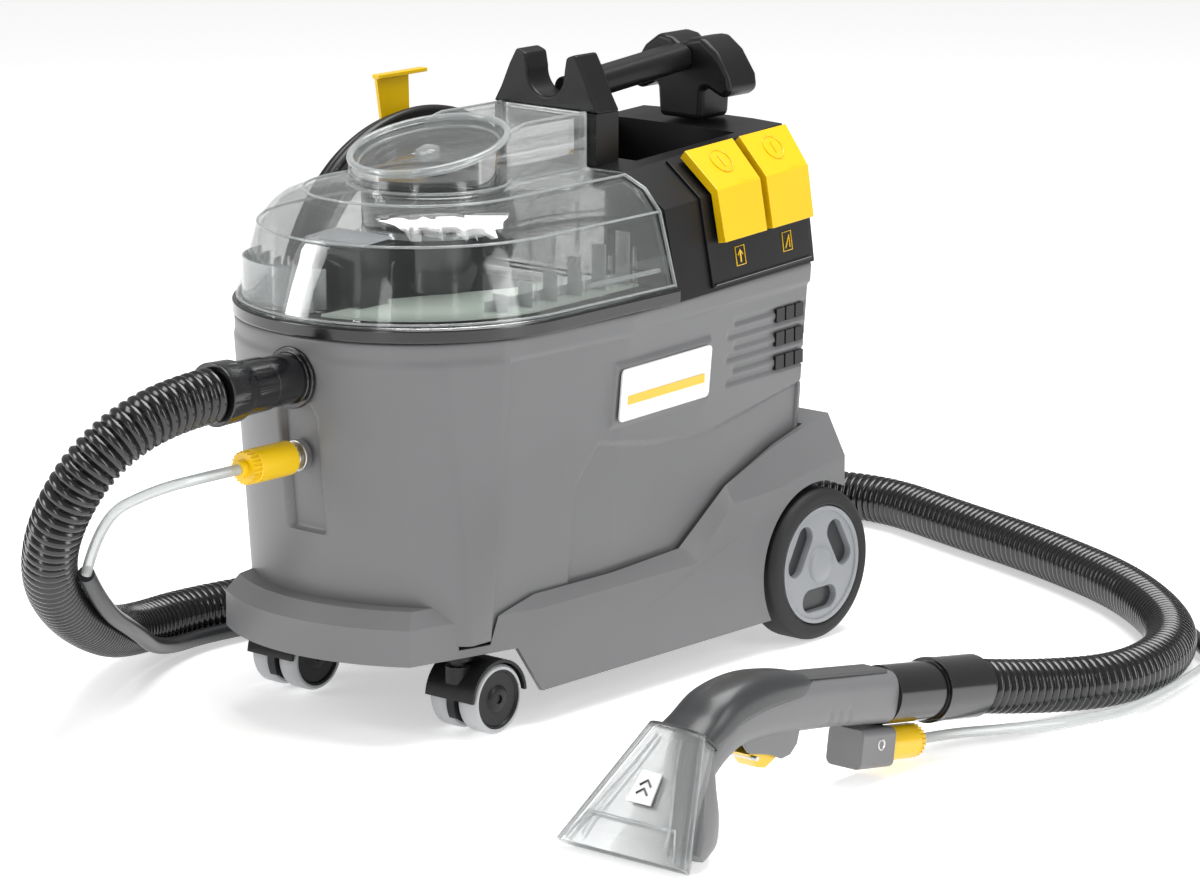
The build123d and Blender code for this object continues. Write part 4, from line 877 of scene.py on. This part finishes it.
def make_lid_edges():
    """Beads along the lid's rims, bends and hump, and its clip rails."""
    clear_bead("drum_rim", drum_ring(DRUM_R - 1.4, 0.2), 2.4, closed=True)
    clear_bead("drum_inner_ring", drum_ring(DRUM_R - 7, -5.0), 1.0, closed=True)
    clear_bead("drum_foot", arc(0, DRUM_CY, 367, DRUM_R + 0.6, -128, 128, 60), 1.0)
    edges = (("low", 291.5, 126.2), ("mid", 342, 111.6), ("high", 364.5, 80))
    for word, z, r in edges:
        ends = [(side * (r - 3), LID_BACK_Y - 1, z) for side in (-1, 1)]
        round_front = arc(0, LID_CY, z, r, -90, 90, 72)
        clear_bead("lid_edge_" + word, [ends[0], *round_front, ends[1]], 0.9)
    back = ((123.4, 290), (108.6, 342), (95, 356.8), (76, 364.6))
    for side, word in SIDES:
        clear_bead("lid_back_edge_" + word, [(side * x, LID_BACK_Y, z) for x, z in back], 1.2)
        clear_bead("hump_foot_" + word, [(side * 40, y, 366) for y in (-133, -64)], 0.9)
        ridge = ((-141, 401), (-125, HUMP_TOP_Z), (LID_BACK_Y, HUMP_TOP_Z))
        clear_bead("hump_edge_" + word, [(side * HUMP_HALF, y, z) for y, z in ridge], 0.9)
        upright = [(side * HUMP_HALF, LID_BACK_Y + 0.5, z) for z in (366, 404)]
        clear_bead("hump_back_" + word, upright, 1.0)
        rail = [(side * 118.8, -150, 303), (side * 118.0, -74, 303)]
        clear_bead("clip_rail_" + word, rail, 1.8)
    knob = lathe(
        "drum_knob",
        [(0, 0.01), (0, 8), (3, 9), (6, 8.6), (8, 5), (8.4, 0.01)],
        (0, DRUM_CY, drum_top(DRUM_CY) - 9),
        (0, -0.22, 0.97),
        40,
    )
    show(knob, "clear_plastic", "lid", finish="clear_edge")


def make_deck_details():
    """Ribs, fins, the drum's seat and band, and the pale deck on the tank."""
    for i in range(5):
        line = arc(-34, -248, 0, 14 + 11 * i, -60 - 6 * i, 70 - 9 * i, 24)
        fin(f"swirl_rib_{i}", line, DECK_Z, 313 + 2 * i, 1.5)
    for i in range(6):
        y = -222 + 26 * i
        inner = 97 - 0.02 * (y + 222)
        fin(f"side_fin_{i}", [(inner, y), (inner + 12, y)], DECK_Z, 306 + 5 * i, 1.4)
    fin("side_gallery", [(96, -230), (96, -84)], DECK_Z, 301, 1.6)
    seat = [(0, 38), (0, 47), (2, 47.5), (4, 47), (5, 40), (5, 38)]
    ring = lathe("drum_seat_ring", seat, (0, DRUM_CY, 333), (0, 0, 1), 72)
    show(ring, "clear_plastic", "tank", finish="clear_edge")
    drum = [(0, 41), (0, 46), (2, 47), (33, 47), (35, 46), (35, 41)]
    show(lathe("drum_band", drum, (0, DRUM_CY, 338), (0, 0, 1), 72), "gloss_black", "tank")
    deck = []
    for z in (DECK_Z + 1.0, DECK_Z + 2.6):
        deck += arc(0, LID_CY, z, 116, 8, 86, 30)
        deck += [(108, -84, z), (52, -84, z), (52, -150, z), (14, -236, z)]
    half = len(deck) // 2
    walls = [(i, (i + 1) % half, half + (i + 1) % half, half + i) for i in range(half)]
    faces = [tuple(range(half)), tuple(range(half, 2 * half))] + walls
    splash = from_faces("splash_deck", mm(deck), faces)
    show(splash, "tank_plastic", "tank", finish="pale_deck")
    top = plate(
        "inlet_top",
        [(-27, -278, 337), (27, -278, 337), (27, -247, 339), (-27, -247, 339)],
        [(-26, -277, 338.4), (26, -277, 338.4), (26, -248, 340.4), (-26, -248, 340.4)],
    )
    show(top, "rim_plastic", "tank")


make_lid_edges()
make_deck_details()


# ------------------------------------------------------------ wheel details ----
WHEEL_FACE = (118.8, 112, 56.6)  # middle of the right wheel's outer face
CASTER_X, CASTER_Y, CASTER_R = 86, -230, 24.5
CASTER_HALF_GAP = 13.0  # from the caster's middle to each wheel's


def make_wheels():
    """Rim floors and caps, caster discs and treads."""
    for side, word in SIDES:
        centre = (side * WHEEL_FACE[0], *WHEEL_FACE[1:])
        out = (side, 0, 0)
        floor = [(-9, 13), (-9, 42), (-8, 42), (-8, 13)]
        show(lathe("rim_floor_" + word, floor, centre, out, 72), "dark_grey", "wheel_" + word)
        cap = [(-2, 0.01), (-2, 12), (0.2, 12.2), (1.0, 11.2), (1.2, 4), (1.2, 0.01)]
        show(lathe("rim_cap_" + word, cap, centre, out, 56), "rim_plastic", "wheel_" + word)
        step = [(-3, 40.5), (-1.2, 40.5), (-0.4, 41.2), (-0.4, 43.6), (-3, 43.6)]
        show(lathe("rim_step_" + word, step, centre, out, 96), "rim_plastic", "wheel_" + word)
        for half, end in ((1, "outer"), (-1, "inner")):
            make_caster_wheel(side, word, half, end)


def make_caster_wheel(side, word, half, end):
    """One wheel of a twin caster: its grey tread and black disc."""
    middle = (side * CASTER_X + half * CASTER_HALF_GAP, CASTER_Y, CASTER_R)
    tread = [(-8.6, 21), (-8.6, 22.6), (-6.5, 24.3), (0, CASTER_R), (6.5, 24.3), (8.6, 22.6), (8.6, 21)]
    made = lathe(f"caster_tread_{word}_{end}", tread, middle, (half, 0, 0), 72)
    show(made, "tread_grey", "caster_roll_" + word)
    disc = [
        (-8.0, 3.2), (-8.0, 21.2), (7.6, 21.2), (7.6, 19.6), (6.4, 18.6),
        (6.4, 10), (7.8, 8.6), (8.4, 7), (8.4, 3.2),
    ]
    made = lathe(f"caster_disc_{word}_{end}", disc, middle, (half, 0, 0), 72)
    stands_for = [f"caster_wheels_{word}"] if half == 1 else []
    show(made, "black_plastic", "caster_roll_" + word, stands_for)


make_wheels()


# ----------------------------------------------------- switches and label ----
TOP_FRONT_Y, TOP_LENGTH = -60.0, 186.0


def top_section(y):
    """The top housing's right half section at y, low to high."""
    t = (y - TOP_FRONT_Y) / TOP_LENGTH
    return (
        Vector((mix(125.0, 97.5, t), HOUSING_TOP)),
        Vector((mix(111.0, 88.0, t), mix(343.0, 347.0, t))),
        Vector((mix(75.0, 66.0, t), mix(366.0, 377.0, t))),
    )


def on_slope(y, share, lift, upper):
    """A point on the top housing's side: share 0 at the bend, 1 at the far end."""
    a, b, c = top_section(y)
    end = c if upper else a
    run = (c - b) if upper else (b - a)
    normal = Vector((run.y, -run.x)).normalized()
    p = b.lerp(end, share) + normal * lift
    return (p.x, y, p.y)


def slope_line(name, marks, lift, upper, body, radius=0.55, closed=False, slot="yellow_plastic"):
    """A fine raised line on a slope: marks are (y, share) pairs."""
    line = [on_slope(y, share, lift, upper) for y, share in marks]
    bead(name, line, radius, slot, body, closed=closed, around=8)


def pad_line(word, name, marks, closed=False):
    """An embossed line on the upper slope of a switch pad."""
    slope_line(f"{word}_{name}", marks, 12.1, True, word + "_switch", closed=closed)


def sign_line(name, marks, radius, closed=False):
    """A printed line on the switch panel, below the pads."""
    slope_line(name, marks, 2.3, False, "machine", radius, closed)


def make_switches():
    """Embossed ovals on the pads and small plain signs below them."""
    turn = [2 * math.pi * k / 40 for k in range(40)]
    for word, mid in (("vacuum", 22.0), ("spray", 86.0)):
        oval = [(mid + 10 * math.cos(a), 0.46 + 0.25 * math.sin(a)) for a in turn]
        pad_line(word, "oval", oval, closed=True)
        pad_line(word, "bar", [(mid, 0.34), (mid, 0.58)])
        low, high = mid - 4, mid + 8
        marks = [(low, 0.60), (high, 0.60), (high, 0.80), (low, 0.80)]
        sign_line(word + "_sign_frame", marks, 0.5, True)
    sign_line("vacuum_sign_stem", [(24, 0.64), (24, 0.77)], 0.7)
    sign_line("vacuum_sign_head", [(21, 0.69), (24, 0.64), (27, 0.69)], 0.6)
    sign_line("spray_sign_rays", [(85, 0.77), (91, 0.64), (91, 0.77)], 0.6)
    ledge = [(y, 0.93) for y in (-14, 118)]
    slope_line("panel_ledge", ledge, 2.6, False, "machine", 0.8, slot="gloss_black")


def on_housing(y, z, lift):
    """A point that stands off the housing's plain right side."""
    return (housing_side(y, z) + lift, y, z)


def make_label():
    """A plain yellow bar on the label plate."""
    corners = ((-112, 214), (-19, 214), (-19, 220.5), (-112, 220.5))
    rings = [[on_housing(y, z, lift) for y, z in corners] for lift in (3.0, 3.5)]
    show(plate("label_bar", *rings), "yellow_plastic")


def make_vent_slot_shade():
    """Three dark plates sunk in the slot openings at the rear ends of the louvre grooves: painted shade
    for the dark inside of the slots.
    """
    length, half = 10.5, 5.0
    for level, groove_z in enumerate(SLOT_LEVELS):
        z = groove_z + 4.5
        for cell in range(3):
            y = 78 + cell * 12.5
            corners = ((y, z - half), (y + length, z - half), (y + length, z + half), (y, z + half))
            rings = [[on_housing(*corner, lift) for corner in corners] for lift in (-3.4, -1.0)]
            # black plates stand in for the shade inside the slot openings: painted shade
            show(plate(f"vent_slot_shade_{level}_{cell}", *rings), "black_plastic")


make_switches()
make_label()
make_vent_slot_shade()


# ----------------------------------------------------------- tool details ----
TOOL_MIDDLE = 362.0
NUT_IN, NUT_OUT, NUT_LENGTH, NUT_TEETH = 10.4, 11.6, 11.0, 22


def knurl(name, centre, axis):
    """The toothed grip of a coupling's nut."""
    axis = Vector(axis).normalized()
    side = axis.orthogonal().normalized()
    other = axis.cross(side)
    count = NUT_TEETH * 4
    points, faces = [], []
    for s in (-NUT_LENGTH / 2, NUT_LENGTH / 2):
        for k in range(count):
            a = 2 * math.pi * k / count
            r = NUT_OUT if k % 4 < 2 else NUT_IN
            out = side * math.cos(a) + other * math.sin(a)
            points.append((Vector(centre) + axis * s + out * r) * MM)
    for k in range(count):
        n = (k + 1) % count
        faces.append((k, n, count + n, count + k))
    faces += [tuple(range(count)), tuple(range(count, 2 * count))]
    return show(from_faces(name, points, faces, 20), "yellow_plastic")


knurl("machine_nut", (0, -361, 195), (0, 1, 0))
knurl("tool_nut", (TOOL_MIDDLE, -101.5, 15.5), (0, 0.989, -0.148))


def between(stops, t):
    """A smooth value through stops, t running from 0 to 1."""
    at = t * (len(stops) - 1)
    i = min(int(at), len(stops) - 2)
    u = at - i
    a, b, c, d = (stops[min(max(i + k, 0), len(stops) - 1)] for k in (-1, 0, 1, 2))
    return tuple(
        q + 0.5 * u * (r - p + u * (2 * p - 5 * q + 4 * r - s + u * (3 * (q - r) + s - p)))
        for p, q, r, s in zip(a, b, c, d)
    )


def round_square(k, around, corner):
    """A point of a rounded square of half width 1; a high corner squares it more."""
    c, s = math.cos(2 * math.pi * k / around), math.sin(2 * math.pi * k / around)
    return math.copysign(abs(c) ** (2 / corner), c), math.copysign(abs(s) ** (2 / corner), s)


def moulding(name, stops, corner, slot, node, rings, sink=None):
    """A smooth closed form along the tool, standing for a node.

    Each stop is y, z, the turn down in degrees, half the width, and how far
    it reaches above and below its middle. sink gives a share of the section
    to take off, at y and at a height from -1 to 1.
    """
    around = 72
    points, faces = [], []
    for i in range(rings):
        t = i / (rings - 1)
        y, z, turn, wide, above, below = between(stops, t)
        a = math.radians(turn)
        up = Vector((0, -math.sin(a), math.cos(a)))
        for k in range(around):
            x, v = round_square(k, around, corner)
            s = math.sin(2 * math.pi * k / around)
            keep = 1 - sink(y, s) if sink else 1
            x, v = x * wide * keep, v * (above if s > 0 else below) * keep
            points.append((Vector((TOOL_MIDDLE + x, y, z)) + up * v) * MM)
    for i in range(rings - 1):
        for k in range(around):
            n = (k + 1) % around
            a, b = i * around, (i + 1) * around
            faces.append((a + k, a + n, b + n, b + k))
    faces += [tuple(range(around)), tuple(range((rings - 1) * around, rings * around))]
    return show(from_faces(name, points, faces, 50), slot, stands_for=[node])


FINGER_LINES = (-186.0, -196.0, -206.0)


def finger_dip(y, s):
    """Three slanting finger lines low on the handle's sides."""
    if s > -0.15 or s < -0.97:
        return 0.0
    near = min(abs(y - line + s * 8) for line in FINGER_LINES)
    return 0.06 * groove(near, 0.8, 1.4)


def make_tool_body():
    """The handle that sweeps down to the head, its hood and the head's shell."""
    handle = (
        (-134.9, 54.4, -8.5, 17.0, 18.4, 18.4),
        (-162.0, 58.4, -8.5, 16.6, 18.4, 17.8),
        (-190.0, 62.6, -8.5, 16.0, 18.2, 17.2),
        (-218.0, 66.8, -8.5, 16.0, 18.0, 17.6),
        (-246.0, 70.8, -4.0, 16.6, 17.0, 18.4),
        (-274.0, 73.6, 8.0, 17.4, 15.0, 19.6),
        (-302.0, 71.0, 28.0, 18.6, 12.0, 18.6),
        (-322.0, 60.5, 45.0, 19.8, 9.0, 15.6),
        (-334.0, 50.0, 50.0, 20.6, 6.0, 12.0),
    )
    moulding("handle_body", handle, 3.0, "grey_plastic", "tool_handle", 150, finger_dip)
    hood = (
        (-212.0, 73.0, -8.5, 9.0, 11.6, 1.0),
        (-228.0, 76.5, -8.0, 14.5, 13.6, 2.0),
        (-250.0, 79.5, -4.0, 18.0, 16.2, 4.0),
        (-276.0, 81.0, 8.0, 20.2, 18.4, 7.0),
        (-302.0, 78.5, 28.0, 21.4, 18.4, 9.0),
        (-320.0, 71.0, 44.0, 22.0, 16.6, 8.6),
        (-334.5, 66.0, 50.0, 22.6, 14.6, 8.0),
    )
    moulding("handle_hood", hood, 2.7, "dark_grey", "tool_neck", 110)
    ring = [round_square(k, 56, 3.4) for k in range(56)]
    rim = [on_head(23.2 * x, 1.2, 4.2 + 14.6 * v) for x, v in ring]
    bead("hood_rim", rim, 1.0, "dark_grey", "machine", closed=True)
    shell = (
        (-335.6, 64.9, 50.0, 20.0, 3.0, 15.2),
        (-346.0, 52.5, 50.0, 27.0, 3.0, 22.0),
        (-358.7, 37.4, 50.0, 38.0, 3.0, 29.0),
        (-370.3, 23.6, 50.0, 47.0, 3.4, 27.5),
        (-378.0, 14.4, 50.0, 51.0, 3.6, 17.6),
        (-381.9, 9.8, 50.0, 52.0, 3.6, 11.0),
    )
    moulding("head_shell", shell, 3.6, "grey_plastic", "head_back", 60)


def slab(name, outline, low, high, width, stands_for=()):
    """An upright grey plate between two distances from the tool's middle."""
    count = len(outline)
    points = mm([(TOOL_MIDDLE + x, y, z) for x in (low, high) for y, z in outline])
    faces = [tuple(range(count)), tuple(range(count, 2 * count))]
    faces += [(i, (i + 1) % count, count + (i + 1) % count, count + i) for i in range(count)]
    piece = from_faces(name, points, faces)
    bevel = piece.modifiers.new("round", "BEVEL")
    bevel.width = width * MM
    bevel.segments = 3
    bake_modifiers(piece)
    return show(piece, "grey_plastic", stands_for=stands_for)


def make_trigger_guard():
    """Cheeks and a back wall round the trigger, and its pin."""
    cheek = [
        (-294, 60), (-232, 58), (-236, 45), (-243, 39), (-252, 38), (-262, 43), (-285, 49),
    ]
    slab("guard_cheek_right", cheek, 9.2, 12.4, 1.0, ["trigger_guard"])
    slab("guard_cheek_left", cheek, -12.4, -9.2, 1.0)
    wall = [(-245, 58), (-234, 58), (-237.5, 46), (-243, 40.5), (-245, 40.5)]
    slab("guard_back", wall, -9.4, 9.4, 0.6)
    pin = [(-12.8, 0.01), (-12.8, 1.5), (12.8, 1.5), (12.8, 0.01)]
    show(lathe("trigger_pin", pin, (TOOL_MIDDLE, -278, 44), (1, 0, 0), 24), "steel")
    screw = [(-3, 0.01), (-3, 2.0), (0.2, 2.4), (0.6, 3.2), (0.3, 4.0), (-3, 4.0)]
    show(lathe("valve_screw", screw, (TOOL_MIDDLE + 15, -150, 26), (1, 0, 0), 32), "steel")


HEAD_TILT = math.radians(50)
HEAD_LEAD = Vector((0, -math.cos(HEAD_TILT), -math.sin(HEAD_TILT)))
HEAD_UP = Vector((0, -math.sin(HEAD_TILT), math.cos(HEAD_TILT)))
NECK_END = Vector((TOOL_MIDDLE, -333, 68))


def on_head(x, s, lift):
    """A point on the head: s along it, x across, lift above its middle."""
    return NECK_END + Vector((x, 0, 0)) + HEAD_LEAD * s + HEAD_UP * lift


def make_head_plate():
    """A small light plate with two chevrons on the clear head."""
    corners = ((-8, 34), (8, 34), (10, 56), (-10, 56))
    rings = [[on_head(x, s, lift) for x, s in corners] for lift in (15.6, 16.9)]
    show(plate("head_plate", *rings), "white_label")
    for i, s in enumerate((40, 46)):
        line = [on_head(x, s + d, 17.1) for x, d in ((-4.5, 4), (0, 0), (4.5, 4))]
        bead(f"head_chevron_{i}", line, 0.8, "dark_grey", "machine", around=8)


def make_head_edges():
    """The clear head's front lip, side edges and inner ribs."""
    lip = ((-45, 88), (-36, 68), (36, 68), (45, 88))
    clear_bead("head_lip", [on_head(x, s, 17.3 - s * 0.0445) for x, s in lip], 1.1, "machine")
    rib = ((10, 8), (17, 30), (34, 72), (36, 84))
    for side, word in SIDES:
        edge = [on_head(side * (22 + s * 0.355), s, 13 - s * 0.06) for s in (1, 30, 60, 89)]
        clear_bead("head_edge_" + word, edge, 1.0, "machine")
        line = [on_head(side * x, s, 16.4) for x, s in rib]
        clear_bead("head_rib_" + word, line, 0.9, "machine")


make_tool_body()
make_trigger_guard()
make_head_plate()
make_head_edges()


# ------------------------------------------------------------ floor, light ----
def make_floor():
    """A plain pale floor."""
    half, z = 8.0, -0.0005  # metres; just clear of the wheels
    corners = [(-half, -half, z), (half, -half, z), (half, half, z), (-half, half, z)]
    floor = from_faces("floor", corners, [(0, 1, 2, 3)])
    made = Finish("pale_floor")
    cloud = made.noise(1.5, 2.0)
    shader = made.surface(
        {
            "Base Color": made.blend(cloud, (0.86, 0.86, 0.86), (0.9, 0.9, 0.9)),
            "Roughness": 0.55,
            "Emission Color": (1, 1, 1, 1),
            "Emission Strength": 0.50,
        }
    )
    floor.data.materials.append(made.finish(shader))


def soft_box(name, place, aim, size, power, tall=None):
    """A large studio light that points at aim."""
    data = bpy.data.lights.new(name, "AREA")
    data.shape = "RECTANGLE"
    data.size = size
    data.size_y = tall or size
    data.energy = power
    light = bpy.data.objects.new(name, data)
    light.location = place
    light.rotation_euler = (Vector(aim) - Vector(place)).to_track_quat("-Z", "Y").to_euler()
    bpy.context.scene.collection.objects.link(light)


def make_light():
    """A top box, a front-left key, a right strip and a pale surround."""
    world = bpy.data.worlds.new("surround")
    bpy.context.scene.world = world
    world.use_nodes = True
    world.node_tree.nodes["Background"].inputs["Color"].default_value = (1, 1, 1, 1)
    world.node_tree.nodes["Background"].inputs["Strength"].default_value = 0.36
    soft_box("top_box", (0.2, 0.3, 2.4), (0, 0, 0.2), 1.7, 62)
    soft_box("key_box", (-1.7, -2.1, 1.3), (0, 0, 0.2), 0.9, 26, 1.8)
    soft_box("side_box", (2.5, 0.3, 1.1), (0, 0, 0.2), 0.7, 20, 1.8)
    soft_box("front_strip", (0.9, -2.6, 1.0), (0, 0, 0.2), 0.35, 9, 1.6)
    bpy.context.scene.view_settings.view_transform = "Standard"


make_floor()
make_light()
